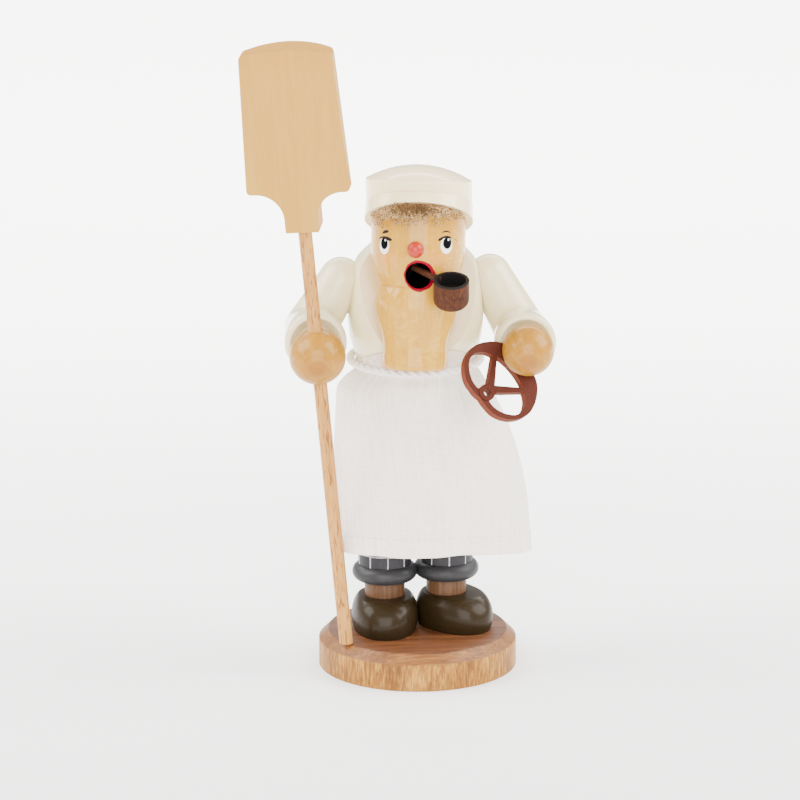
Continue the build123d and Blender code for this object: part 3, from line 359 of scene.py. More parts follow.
bevelMask = ((plate["bevelTop"] - plateRise) * 4).clip()
plateTone = plateWood.mix(bevelMask, plateWood.colour, plateWood.ramp(plateWood.tone, plate["bevelTones"]))
sideMask = ((plate["sideTop"] - plateRise) * 2).clip()
plateWood.set(Base_Color=plateWood.mix(sideMask, plateTone, golden))
dress(["base_plate"], plateWood.material)

rodWay = (-0.086698, -0.10113, 0.991088)
rodLook = dict(
    beech, grain=rodWay, origin=(-21.5, -17.2, 11.3), bands=0.8, fine=3.0, stretch=0.05, wander=2.0,
    dark=(0.326, 0.130, 0.026), middle=(0.449, 0.212, 0.045), pale=(0.563, 0.302, 0.080),
    fleckWide=1.9, fleckLong=0.25, fleckFrom=0.585, fleckShare=0.75, fleckTone=(0.17, 0.048, 0.008),
    coat=0.0, roughness=0.5)
dress(["peel_rod"], woodFinish("rodBeech", rodLook).material)

ankleLook = dict(
    beech, grain=(0, 0, 1), bands=0.7, stretch=0.06,
    dark=(0.050, 0.0192, 0.0068), middle=(0.090, 0.041, 0.0170), pale=(0.151, 0.078, 0.036),
    fleckShare=0.4, fleckTone=(0.065, 0.022, 0.008), coat=0.0)
dress(["right_ankle", "left_ankle"], woodFinish("ankleWood", ankleLook).material)

# the peel's blade is browner towards its far end
blade = {"origin": (-33, -31, 142), "endFrom": 50.0, "endFade": 0.25, "endShare": 0.35,
         "endTone": (0.46, 0.200, 0.018)}
bladeWood = woodFinish("bladeLinden", dict(
    linden, grain=rodWay, origin=blade["origin"], fleckShare=0.3, fleckWide=3.2, fleckLong=0.9,
    roughness=0.5))
endGrain = ((bladeWood.along(rodWay, blade["origin"]) - blade["endFrom"]) * blade["endFade"]).clip()
bladeWood.set(Base_Color=bladeWood.mix(endGrain * blade["endShare"], bladeWood.colour, blade["endTone"]))
dress(["peel_blade"], bladeWood.material)

dress(["shoe_dowels", "head_dowel", "cap_dowel", "shoulder_dowels", "elbow_dowels", "hand_pegs"],
      woodFinish("dowelWood", dict(linden, roughness=0.6)).material)

hands = {"right": (-29.54, -26.58, 103.2), "left": (32.83, -21.23, 103.7)}
handLook = dict(
    linden, grain=upperBack, bands=0.5, stretch=0.16, coat=0.35, coatRough=0.09, roughness=0.36, shine=0.1,
    dark=(0.215, 0.082, 0.004), middle=(0.345, 0.158, 0.011), pale=(0.50, 0.262, 0.030), bump=0.06)
handEnd = {
    "spot": (-0.6, -1.7), "spotReach": 3.6, "spotShare": 0.6, "spotTone": (0.26, 0.088, 0.008),
    "rings": 3.1, "wander": 3.0, "ringReach": 7.5, "ringShare": 0.4, "ringTone": (0.27, 0.095, 0.008),
}


def handFinish(name, centre):
    # a lacquered ball: rings about the line to the viewer, and an end-grain spot at the front
    wood = woodFinish(name, dict(handLook, origin=centre))
    x = wood.along(upperSide, centre) - handEnd["spot"][0]
    z = wood.along((0, 0, 1), centre) - handEnd["spot"][1]
    front = (-wood.along(upperBack, centre) * 0.6).clip()
    reach = spanOf(x, z)
    rings = (reach * handEnd["rings"] + wood.noise(wood.spot, 0.35, 2) * handEnd["wander"]).math("SINE")
    ringMask = (rings * 0.5 + 0.5) * ((handEnd["ringReach"] - reach) * 0.2).clip() * front
    spotMask = ((handEnd["spotReach"] - reach) * 0.45).clip() * front
    tone = wood.mix(ringMask * handEnd["ringShare"], wood.colour, handEnd["ringTone"])
    wood.set(Base_Color=wood.mix(spotMask * handEnd["spotShare"], tone, handEnd["spotTone"]))
    return wood.material


for side, centre in hands.items():
    dress([side + "_hand"], handFinish(side + "HandLacquer", centre))

pipeLook = dict(
    beech, bands=1.3, fine=3.4, stretch=0.1, coat=0.0, roughness=0.6, shine=0.15,
    dark=(0.018, 0.005, 0.003), middle=(0.045, 0.012, 0.004), pale=(0.095, 0.030, 0.010),
    fleckTone=(0.012, 0.004, 0.002))
bowl = {"foot": (9.94, -29.7, 119.3), "lean": 15, "rim": 8.45, "inside": 4.6, "sootAndShade": (0.005, 0.0035, 0.0035)}
pipeWood = woodFinish("pipeStain", dict(pipeLook, grain=(0, 0.26, 0.97), origin=bowl["foot"]))
bowlUp = (0, -math.sin(math.radians(bowl["lean"])), math.cos(math.radians(bowl["lean"])))
bowlAcross, bowlBack, bowlRise = (pipeWood.along(way, bowl["foot"]) for way in axes(bowlUp))
# soot fills the bowl and reaches over its rim
charred = ((bowlRise - bowl["rim"]) * 8).clip() + ((bowl["inside"] - spanOf(bowlAcross, bowlBack)) * 8).clip()
pipeWood.set(Base_Color=pipeWood.mix(charred.clip(), pipeWood.colour, bowl["sootAndShade"]))
dress(["pipe_bowl"], pipeWood.material)

stemLook = dict(
    beech, grain=(-0.95, 0.2, 0.1), bands=1.2, stretch=0.1, coat=0.0, roughness=0.6, shine=0.15,
    dark=(0.03, 0.012, 0.008), middle=(0.050, 0.014, 0.006), pale=(0.10, 0.033, 0.014),
    fleckTone=(0.014, 0.005, 0.003))
dress(["pipe_stem"], woodFinish("stemStain", stemLook).material)
print("woods done")


# paints

gloss = {"dustScale": 2.6, "dustFrom": 0.71, "dustSharp": 12, "roughSwing": 0.1, "peelDeep": 0.04}


def lacquer(name, look):
    # brushed or sprayed paint: faint clouding, dust, orange peel and a clear gloss
    paint = Finish(name)
    cloud = paint.noise(paint.spot, look["cloudScale"], 3)
    peel = paint.noise(paint.spot, look["peelScale"], 2)
    dust = paint.noise(paint.spot, gloss["dustScale"], 1) - gloss["dustFrom"]
    dust = (dust * gloss["dustSharp"]).clip() * look["dust"]
    paint.colour = paint.mix(dust, paint.mix(cloud, look["colour"], look["cloudColour"]), look["dustColour"])
    paint.set(Base_Color=paint.colour, Roughness=cloud * gloss["roughSwing"] + look["roughness"],
              Coat_Weight=look["coat"], Coat_Roughness=look["coatRough"], Specular_IOR_Level=look["shine"],
              Normal=paint.bump(peel, look["peel"], gloss["peelDeep"]))
    return paint


ivory = {
    "colour": (0.91, 0.745, 0.435), "cloudColour": (0.89, 0.715, 0.40), "cloudScale": 0.09, "peelScale": 0.7,
    "peel": 0.06, "dust": 0.35, "dustColour": (0.66, 0.48, 0.22), "roughness": 0.32, "coat": 0.7,
    "coatRough": 0.12, "shine": 0.5,
}
dress(["cap"], lacquer("ivoryLacquer", ivory).material)
# painted shade: arms and torso take a darker, less red copy of the cap's ivory, the same paint as it looks in
# shade
shadedIvory = dict(ivory, colour=(0.77, 0.675, 0.405), cloudColour=(0.74, 0.645, 0.38))
dress(["right_upper_arm", "left_upper_arm", "right_forearm", "left_forearm"],
      lacquer("shadedSleeveLacquer", shadedIvory).material)

torso = {
    "flatLean": 25, "flatBack": -19.5, "flatRise": 8.5, "flatShadeShare": 0.75, "flatShadeTone": (0.58, 0.42, 0.20),
    "chamber": 12.5, "chamberTop": 118.0, "wall": 0.8, "sootAndShade": (0.020, 0.012, 0.008),
}
torsoPaint = lacquer("torsoLacquer", shadedIvory)
# painted shade: the flat behind the chin is a shade deeper and warmer, with a painted warm reflection off the
# chin
flatLean = math.radians(torso["flatLean"])
flatOut = Vector((0, 0, 1)) * math.sin(flatLean) - upperBack * math.cos(flatLean)
depth = torsoPaint.along(flatOut, upperPlace(0, torso["flatBack"], figure["hipTop"] + torso["flatRise"]))
flatShadeMask = ((depth + 0.25) * 8).clip()
torsoWithFlatShade = torsoPaint.mix(flatShadeMask * torso["flatShadeShare"], torsoPaint.colour, torso["flatShadeTone"])
# painted shade: the chamber's walls inside are painted dark brown as shade deep in the hollow, and so is the
# way to the mouth
torsoReach = spanOf(torsoPaint.along(upperSide, figureCentre), torsoPaint.along(upperBack, figureCentre))
chamber = ((torso["chamber"] - torsoReach) * 4).clip() * ((-torso["wall"] - depth) * 4).clip()
chamber = chamber * ((torso["chamberTop"] - torsoPaint.along((0, 0, 1))) * 2).clip()
boreAndChamberShade = (chamber + boreShade(torsoPaint)).clip()
torsoPaint.set(Base_Color=torsoPaint.mix(boreAndChamberShade, torsoWithFlatShade, torso["sootAndShade"]),
               Coat_Weight=(1 - boreAndChamberShade) * shadedIvory["coat"])
dress(["torso"], torsoPaint.material)

clog = {
    "colour": (0.0184, 0.0107, 0.0035), "cloudColour": (0.0173, 0.0108, 0.0042), "cloudScale": 0.12,
    "peelScale": 0.5, "peel": 0.08, "dust": 0.1, "dustColour": (0.012, 0.008, 0.005), "roughness": 0.4,
    "coat": 0.17, "coatRough": 0.2, "shine": 0.06,
}
dress(["right_shoe", "left_shoe"], lacquer("clogPaint", clog).material)

turnUp = {
    "colour": (0.021, 0.021, 0.023), "cloudColour": (0.0180, 0.0180, 0.0197), "cloudScale": 0.15,
    "peelScale": 0.6, "peel": 0.12, "dust": 0.15, "dustColour": (0.025, 0.025, 0.028), "roughness": 0.5,
    "coat": 0.15, "coatRough": 0.25, "shine": 0.2,
}
dress(["right_turn_up_ring", "left_turn_up_ring"], lacquer("ringPaint", turnUp).material)

trouserPaint = {
    "colour": (0.020, 0.0195, 0.023), "cloudColour": (0.0170, 0.0161, 0.0195), "cloudScale": 0.2,
    "peelScale": 0.8, "peel": 0.1, "dust": 0.0, "dustColour": (0.05, 0.05, 0.05), "roughness": 0.5,
    "coat": 0.1, "coatRough": 0.25, "shine": 0.2,
}
check = {"line": (0.50, 0.50, 0.51), "lineHalf": 0.20, "lineSoft": 0.1, "wobble": 0.25, "turn": 40.0,
         "firstLine": 3.7, "phases": {"right": 277.3, "left": 276.5}}


def checkLines(upright, level):
    # 1 on a painted line, from the distances to the nearest upright and level one
    return ((check["lineHalf"] - upright.low(level)) / check["lineSoft"] + 0.5).clip()


for side, sign in (("right", -1), ("left", 1)):
    cloth = lacquer(side + "TrouserPaint", trouserPaint)
    legPlace = figureCentre + lowerSide * (sign * legs["spacing"] / 2)
    x = cloth.along((1, 0, 0), legPlace)
    y = cloth.along((0, 1, 0), legPlace)
    z = cloth.along((0, 0, 1), (0, 0, legs["foot"]))
    brush = (cloth.noise(cloth.spot, 0.6, 3) - 0.5) * check["wobble"]
    halfPitch = math.radians(check["turn"]) * legs["radius"] / 2
    firstArc = math.radians(check["phases"][side]) * legs["radius"]
    arc = y.math("ARCTAN2", x) * legs["radius"] - firstArc + brush
    upright = abs(arc.math("WRAP", halfPitch, -halfPitch))
    level = abs((z - check["firstLine"] + brush).math("WRAP", halfPitch, -halfPitch))
    wear = (cloth.noise(cloth.spot, 1.3, 2) * 1.6 - 0.1).clip()
    cloth.set(Base_Color=cloth.mix(checkLines(upright, level) * wear, cloth.colour, check["line"]))
    dress([side + "_trouser_leg"], cloth.material)

# the check runs on round the hip block and leaves its middle plain
hip = {"halfTurn": 10, "halfRow": 2.81, "radius": 18.6, "inside": 15}
hipPaint = lacquer("hipPaint", dict(trouserPaint, shine=0.5))
hipX = hipPaint.along(lowerSide, figureCentre)
hipY = hipPaint.along(lowerBack, figureCentre)
hipRise = hipPaint.along((0, 0, 1)) - (legs["foot"] + check["firstLine"])
halfTurn = math.radians(hip["halfTurn"])
hipUpright = abs(hipY.math("ARCTAN2", hipX).math("WRAP", halfTurn, -halfTurn)) * hip["radius"]
hipLevel = abs(hipRise.math("WRAP", hip["halfRow"], -hip["halfRow"]))
hipLines = checkLines(hipUpright, hipLevel) * ((spanOf(hipX, hipY) - hip["inside"]) * 2).clip()
hipPaint.set(Base_Color=hipPaint.mix(hipLines, hipPaint.colour, check["line"]))
dress(["hip_block"], hipPaint.material)

nose = {
    "colour": (0.320, 0.0112, 0.0024), "cloudColour": (0.384, 0.027, 0.0072), "cloudScale": 0.5,
    "peelScale": 1.0, "peel": 0.05, "dust": 0.2, "dustColour": (0.70, 0.20, 0.11), "roughness": 0.34,
    "coat": 0.45, "coatRough": 0.12, "shine": 0.1,
}
dress(["nose"], lacquer("nosePaint", nose).material)

# the pretzel's cut edges took the stain redder than its two flat faces
pretzel = {
    "colour": (0.065, 0.0138, 0.0071), "cloudColour": (0.052, 0.0104, 0.0050), "cloudScale": 0.35,
    "peelScale": 1.1, "peel": 0.12, "dust": 0.3, "dustColour": (0.10, 0.030, 0.016), "roughness": 0.6,
    "coat": 0.0, "coatRough": 0.3, "shine": 0.1, "out": (0.40, -0.75, 0.527), "handGap": 4.0,
    "edgeFrom": 0.08, "edgeTo": 2.52, "edgeShare": 0.8, "edgeTone": (0.145, 0.034, 0.015),
}
pretzelPaint = lacquer("pretzelStain", pretzel)
pretzelOut = Vector(pretzel["out"]).normalized()
pretzelDeep = -pretzelPaint.along(pretzelOut, Vector(hands["left"]) - pretzelOut * pretzel["handGap"])
edgeMask = ((pretzelDeep - pretzel["edgeFrom"]) * 20).clip() * ((pretzel["edgeTo"] - pretzelDeep) * 20).clip()
edgeMask = edgeMask * pretzel["edgeShare"]
pretzelPaint.set(Base_Color=pretzelPaint.mix(edgeMask, pretzelPaint.colour, pretzel["edgeTone"]))
dress(["pretzel"], pretzelPaint.material)


def metalFinish(name, look):
    # bare metal, clouded a little
    metal = Finish(name)
    cloud = metal.noise(metal.spot, look["scale"], look["detail"])
    return metal.set(Base_Color=metal.ramp(cloud, [(0.3, look["dark"]), (0.7, look["pale"])]), Metallic=1.0,
                     Roughness=cloud * look["roughSwing"] + look["roughness"])


dishBrass = {"dark": (0.42, 0.28, 0.10), "pale": (0.70, 0.50, 0.20), "scale": 0.5, "detail": 4,
             "roughness": 0.25, "roughSwing": 0.25}
tackSteel = {"dark": (0.36, 0.36, 0.38), "pale": (0.56, 0.56, 0.58), "scale": 3.0, "detail": 3,
             "roughness": 0.25, "roughSwing": 0.2}
dress(["incense_dish"], metalFinish("dishBrass", dishBrass))
dress(["dish_tack"], metalFinish("tackSteel", tackSteel))
print("paints done")


# face, painted on the head

face = {
    "bore": 3.85, "boreBack": 12.5, "lips": 4.66, "lipsAside": 0.28, "lipsBack": -5, "ragged": 0.9,
    "white": (0.90, 0.88, 0.84), "black": (0.004, 0.004, 0.005), "red": (0.21, 0.0006, 0.012),
    "ink": (0.010, 0.007, 0.006), "glint": (0.80, 0.80, 0.80), "sootAndShade": (0.006, 0.004, 0.004),
    "blush": (0.70, 0.22, 0.020), "blushSize": (3.4, 2.6, 3.4), "figure": (0.43, 0.175, 0.012),
    "mottle": (0.74, 0.50, 0.12), "shade": (0.34, 0.155, 0.013), "shadeFrom": 39.5, "lineSoft": 0.2,
}
eyes = [
    {"white": (-10.25, 37.0, 2.0, 2.5), "pupil": (-10.2, 37.65, 1.5, 1.75), "glint": (-9.75, 38.65),
     "lash": [(-12.8, 38.95), (-10.4, 39.5), (-7.2, 38.95)], "lashEnd": [(-9.7, 39.15), (-7.2, 38.85)],
     "brow": [(-11.2, 40.65), (-9.8, 41.15), (-8.5, 41.3)], "blush": (-9.3, 33.4),
     "wide": {"lash": 0.36, "lashEnd": 0.46, "brow": 0.50}},
    {"white": (9.95, 37.75, 2.1, 2.5), "pupil": (10.2, 38.4, 1.6, 1.75), "glint": (10.6, 39.4),
     "lash": [(6.9, 39.3), (9.3, 40.2), (11.9, 39.9)], "lashEnd": [(6.9, 39.25), (8.7, 39.85)],
     "brow": [(8.0, 41.4), (9.5, 41.85), (11.4, 41.3)], "crease": [(12.7, 39.75), (14.6, 38.85)],
     "blush": (6.6, 34.2), "wide": {"lash": 0.36, "lashEnd": 0.46, "brow": 0.24, "crease": 0.14}},
]
faceLook = dict(
    linden, grain=headUp, side=headSide, origin=skull["origin"], bands=0.35, bandShare=0.7, fineShare=0.6,
    dark=(0.400, 0.178, 0.0102), middle=(0.512, 0.261, 0.020), pale=(0.608, 0.349, 0.047),
    fleckWide=3.0, fleckLong=1.2, fleckShare=0.22, bump=0.05, coat=0.7, coatRough=0.12, roughness=0.34,
    shine=0.0)
headWood = woodFinish("faceLinden", faceLook)
headX, headY, headZ = (headWood.along(way, skull["origin"]) for way in (headSide, headBack, headUp))
across = headX.math("ARCTAN2", -headY) * skull["radius"]
# the figured grain of the cheeks and chin, and pale clouds over it
figured = headWood.noise(headWood.vector(headX * 0.9, headY * 0.3, headZ * 0.28), 0.42, 4, 0.7)
skin = headWood.mix(((figured - 0.48) * 3.2).clip() * 0.45, headWood.colour, face["figure"])
mottle = headWood.noise(headWood.vector(headX * 0.5, headY * 0.5, headZ * 0.9), 1.0, 3, 0.6)
skin = headWood.mix(((mottle - 0.52) * 4).clip() * 0.35, skin, face["mottle"])
for eye in eyes:
    blush = headWood.oval(across, headZ, *eye["blush"], *face["blushSize"])
    skin = headWood.mix(blush * 0.42, skin, face["blush"])
# a shade under the hair
skin = headWood.mix(((headZ - face["shadeFrom"]) * 0.25).clip() * 0.6, skin, face["shade"])
pupils = 0.0
for eye in eyes:
    lid = ((eye["lash"][1][1] - headZ) * 5 + 0.5).clip()
    skin = headWood.mix(headWood.oval(across, headZ, *eye["white"], 0.22) * lid, skin, face["white"])
    pupil = headWood.oval(across, headZ, *eye["pupil"], 0.18) * lid
    skin = headWood.mix(pupil, skin, face["black"])
    pupils = pupil + pupils
    skin = headWood.mix(headWood.oval(across, headZ, *eye["glint"], 0.30, 0.32, 0.2), skin, face["glint"])
    for line, wide in eye["wide"].items():
        stroke = headWood.stroke(across, headZ, eye[line], wide, face["lineSoft"])
        skin = headWood.mix(stroke, skin, face["ink"])
mouthX = headX - skull["mouth"][0]
mouthZ = headZ - skull["mouth"][1]
ragged = (headWood.noise(headWood.spot, 0.45, 2) - 0.5) * face["ragged"]
lips = face["lips"] + ragged - spanOf(mouthX - face["lipsAside"], mouthZ)
lips = (lips * 7 + 0.5).clip() * headY.math("LESS_THAN", face["lipsBack"])
inside = ((face["bore"] + 0.06 - spanOf(mouthX, mouthZ)) * 24).clip()
# painted shade darkens the bore and the way through the head too
inside = (inside * headY.math("LESS_THAN", face["boreBack"]) + boreShade(headWood)).clip()
skin = headWood.mix(inside, headWood.mix(lips, skin, face["red"]), face["sootAndShade"])
painted = (pupils + lips + inside).clip()
headWood.set(Base_Color=skin, Coat_Weight=(1 - painted * 0.9) * faceLook["coat"])
dress(["head"], headWood.material)
print("face painted")


# apron, a hung sheet of cotton with a hem

apronCut = {
    "flat": (62.0, 63.0), "columns": 150, "rows": 190, "thick": 0.34, "top": 102.4, "bottom": 40.0,
    "topDrop": 6.2, "sideBack": 1.0, "topRadius": 20.15, "hipRadius": 19.7, "left": (25.3, 17.4),
    "right": (33.1, 19.6), "front": 26.0, "flare": 2.5, "waist": 18.05, "cordHeight": 95.2, "nip": 1.82,
    "foldGrow": 1.2, "foldShare": 0.9,
    "puff": 3.2, "puffTop": 93.2, "puffRise": 6.0, "puffHold": 7.0, "puffFade": 18.0,
    "chinReach": 10.0, "chinBelow": 0.1,
}
# each fold: how far it stands out, its waves across, how it leans downwards and where it starts
folds = [(0.55, 15.0, 0.0, 0.6), (0.30, 31.0, 2.0, 2.0), (0.22, 9.0, -6.0, 0.0)]
gathers = {"stand": 0.16, "waves": 105.0, "reach": 4.0, "frill": 0.35, "frillHeight": 3.4, "frillReach": 1.3}
hem = {"height": 5.6, "stand": 0.2, "step": 0.4, "seam": 0.16, "seamHalf": 0.35, "sway": 0.35,
       "swayWaves": 11.0}


def eased(share):
    return share * share * (3 - 2 * share)


def swell(distance, reach):
    return math.exp(-(distance / reach) ** 2)


def circleThrough(a, b, c):
    # centre of the circle through three flat points
    ax, ay, bx, by, cx, cy = *a, *b, *c
    d = 2 * (ax * (by - cy) + bx * (cy - ay) + cx * (ay - by))
    ux = ((ax**2 + ay**2) * (by - cy) + (bx**2 + by**2) * (cy - ay) + (cx**2 + cy**2) * (ay - by)) / d
    uy = ((ax**2 + ay**2) * (cx - bx) + (bx**2 + by**2) * (ax - cx) + (cx**2 + cy**2) * (bx - ax)) / d
    return ux, uy


def apronLine(height):
    # left, front and right places of the cloth at one height, in the upper figure's frame
    cut = apronCut
    backs = cut["sideBack"]
    # on its right the cloth stands out stiffly just under the cord
    puff = cut["puff"] * eased(min(1.0, max(0.0, (cut["puffTop"] - height) / cut["puffRise"])))
    puff *= math.exp(-max(0.0, cut["puffTop"] - cut["puffHold"] - height) / cut["puffFade"])
    if height >= figure["hipTop"]:
        rows = [(cut["top"], cut["topRadius"]), (cut["cordHeight"] + cut["nip"], cut["waist"] + 0.1),
                (cut["cordHeight"] - cut["nip"], cut["waist"]), (figure["hipTop"], cut["hipRadius"])]
        for (high, outer), (low, inner) in zip(rows, rows[1:]):
            if height >= low:
                radius = inner + (outer - inner) * eased((height - low) / (high - low))
                break
        out = math.sqrt(radius**2 - backs**2)
        return (-out - puff, -backs), (0, -radius), (out, -backs)
    share = (figure["hipTop"] - height) / (figure["hipTop"] - cut["bottom"])
    flare = 1 - (1 - share) ** cut["flare"]
    hips = cut["hipRadius"]
    left = (-hips - (cut["left"][0] - hips) * flare - puff, -backs - (cut["left"][1] - backs) * share)
    right = (hips + (cut["right"][0] - hips) * flare, -backs - (cut["right"][1] - backs) * share)
    return left, ((left[0] + right[0]) / 2, -hips - (cut["front"] - hips) * flare), right


def apronPoint(u, v):
    # u runs across from 0 to 1, v down from 0 to 1
    cut = apronCut
    # the top edge arches from the cord at both sides up behind the chin
    top = cut["top"] - cut["topDrop"] * abs(math.cos(math.pi * u)) ** 3
    height = top + (cut["bottom"] - top) * v
    left, front, right = apronLine(height)
    cx, cy = circleThrough(left, front, right)
    radius = math.hypot(left[0] - cx, left[1] - cy)
    start = math.atan2(left[1] - cy, left[0] - cx) % (2 * math.pi)
    end = math.atan2(right[1] - cy, right[0] - cx) % (2 * math.pi)
    if end < start:
        end += 2 * math.pi
    angle = start + (end - start) * u
    loose = max(0.0, (figure["hipTop"] - height) / (figure["hipTop"] - cut["bottom"]))
    fold = sum(stand * math.sin(u * waves + v * lean + begin) for stand, waves, lean, begin in folds)
    above = height - cut["cordHeight"]
    gather = gathers["stand"] * math.sin(u * gathers["waves"]) * swell(above, gathers["reach"])
    gather += gathers["frill"] * swell(above - gathers["frillHeight"], gathers["frillReach"])
    seam = height - cut["bottom"] - hem["height"]
    turnedUp = hem["stand"] * min(1.0, max(0.0, 0.5 - seam / hem["step"]))
    turnedUp -= hem["seam"] * swell(seam, hem["seamHalf"])
    radius += fold * loose ** cut["foldGrow"] * cut["foldShare"] + gather + turnedUp
    height += hem["sway"] * math.sin(u * hem["swayWaves"] + 1.0) * loose
    return upperPlace(cx + radius * math.cos(angle), cy + radius * math.sin(angle), height)


def clothMesh(name, rows, columns, point, width, length):
    # a grid with a UV map in millimetres, so the weave keeps its true size
    mesh = bpy.data.meshes.new(name)
    points = [point(c / columns, r / rows) * mm for r in range(rows + 1) for c in range(columns + 1)]
    faces = []
    for r in range(rows):
        for c in range(columns):
            corner = r * (columns + 1) + c
            faces.append((corner, corner + columns + 1, corner + columns + 2, corner + 1))
    mesh.from_pydata(points, [], faces)
    layer = mesh.uv_layers.new(name="cut")
    for loop in mesh.loops:
        r, c = divmod(loop.vertex_index, columns + 1)
        layer.data[loop.index].uv = (c / columns * width, r / rows * length)
    mesh.polygons.foreach_set("use_smooth", [True] * len(mesh.polygons))
    return mesh


def link(name, mesh, body):
    made = bpy.data.objects.new(name, mesh)
    bpy.context.scene.collection.objects.link(made)
    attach(made, body)
    return made


apronMesh = clothMesh("apron_cloth", apronCut["rows"], apronCut["columns"], apronPoint, *apronCut["flat"])
# the cloth stops where the chin stands against it
chin = bmesh.new()
chin.from_mesh(apronMesh)
gone = []
for facet in chin.faces:
    spot = facet.calc_center_median() / mm - Vector(skull["origin"])
    rise = spot.dot(headUp)
    if rise > -apronCut["chinBelow"] and (spot - headUp * rise).length < apronCut["chinReach"]:
        gone.append(facet)
bmesh.ops.delete(chin, geom=gone, context="FACES")
chin.to_mesh(apronMesh)
chin.free()

weaving = {
    "thread": 0.27, "tones": [(0.16, (0.77, 0.675, 0.600)), (0.30, (0.92, 0.835, 0.760)),
                              (0.46, (0.98, 0.920, 0.855))],
    "stitch": (0.60, 0.55, 0.50), "stitchHalf": 0.24, "stitches": 3.4, "stitchShare": 0.5,
    "bibShade": (0.66, 0.53, 0.43), "bibShadeFrom": 97.0, "bibShadeShare": 0.8,
}
cotton = Finish("apronCotton")
uv = cotton.node("ShaderNodeUVMap", {"uv_map": "cut"})
split = cotton.tree.nodes.new("ShaderNodeSeparateXYZ")
cotton.feed(split.inputs[0], uv)
warp, weft = Flow(cotton, split.outputs[0]), Flow(cotton, split.outputs[1])
slub = cotton.noise(cotton.vector(warp * 3.0, weft * 0.35, 0.0), 1.0, 3)
slub = slub + cotton.noise(cotton.vector(warp * 0.35, weft * 3.0, 5.0), 1.0, 3)
over = (warp * (math.pi / weaving["thread"])).math("SINE")
under = (weft * (math.pi / weaving["thread"])).math("SINE")
weave = abs(over) * 0.5 + abs(under) * 0.5 + over * under * 0.25
streak = cotton.noise(cotton.vector(warp * 1.5, weft * 0.045, 2.0), 1.0, 3, 0.6)
streak = streak * 0.7 + cotton.noise(cotton.vector(warp * 0.05, weft * 1.5, 9.0), 1.0, 3, 0.6) * 0.3
shade = weave * 0.08 + slub * 0.22 + (streak - 0.5) * 0.55
seamAway = abs(weft - (apronCut["flat"][1] - hem["height"]))
stitch = ((weaving["stitchHalf"] - seamAway) * 7).clip()
stitch = stitch * ((warp * weaving["stitches"]).math("SINE") * 4 + 0.6).clip()
colour = cotton.mix(stitch * weaving["stitchShare"], cotton.ramp(shade, weaving["tones"]), weaving["stitch"])
# painted shade: the bib over the cord is darker and warmer, as in the shade of the chin and arms
bibShade = ((cotton.along((0, 0, 1)) - weaving["bibShadeFrom"]) * 0.6).clip() * weaving["bibShadeShare"]
colour = cotton.mix(bibShade, colour, weaving["bibShade"])
cotton.set(Base_Color=colour, Roughness=0.9, Sheen_Weight=0.25, Sheen_Roughness=0.5,
           Normal=cotton.bump(weave + slub * 0.8 + streak * 1.6 - stitch * 0.8, 0.7, 0.08))
apronMesh.materials.append(cotton.material)
apron = link("apron_cloth", apronMesh, "upper_figure")
thicken = apron.modifiers.new("thickness", "SOLIDIFY")
thicken.thickness = apronCut["thick"] * mm
thicken.offset = 0
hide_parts("apron")
print("apron hung")


# waist cord, two strands twisted round each other by Geometry Nodes

def buildTree(name, inputs):
    tree = bpy.data.node_groups.new(name, "GeometryNodeTree")
    sockets = {}
    for label, kind, value in inputs:
        made = tree.interface.new_socket(label, in_out="INPUT", socket_type=kind)
        if value is not None:
            made.default_value = value
        sockets[label] = made.identifier
    tree.interface.new_socket("Geometry", in_out="OUTPUT", socket_type="NodeSocketGeometry")
    graph = Graph(tree)
    entry = tree.nodes.new("NodeGroupInput")
    flows = {label: Flow(graph, entry.outputs[label]) for label in sockets}
    return tree, graph, flows, sockets


def closeTree(graph, geometry, material):
    # every tree ends in plain geometry with its material
    whole = graph.node("GeometryNodeRealizeInstances", None, {0: geometry})
    finished = graph.node("GeometryNodeSetMaterial", None, {"Geometry": whole, "Material": material})
    last = graph.tree.nodes.new("NodeGroupOutput")
    graph.tree.links.new(finished.socket, last.inputs[0])


def bakeTree(name, base, tree, sockets, values, body):
    # runs a tree on a base mesh and keeps the result as a plain mesh
    holder = bpy.data.objects.new(name, base)
    bpy.context.scene.collection.objects.link(holder)
    grow = holder.modifiers.new("grow", "NODES")
    grow.node_group = tree
    for label, value in values.items():
        grow[sockets[label]] = value
    bpy.context.view_layer.update()
    ready = holder.evaluated_get(bpy.context.evaluated_depsgraph_get())
    mesh = bpy.data.meshes.new_from_object(ready)
    mesh.name = name
    bpy.data.objects.remove(holder)
    return link(name, mesh, body)


def pathMesh(name, points, closed):
    mesh = bpy.data.meshes.new(name)
    edges = [(i, i + 1) for i in range(len(points) - 1)]
    if closed:
        edges.append((len(points) - 1, 0))
    mesh.from_pydata([Vector(p) * mm for p in points], edges, [])
    return mesh


cordShape = {"samples": 900, "sides": 8}


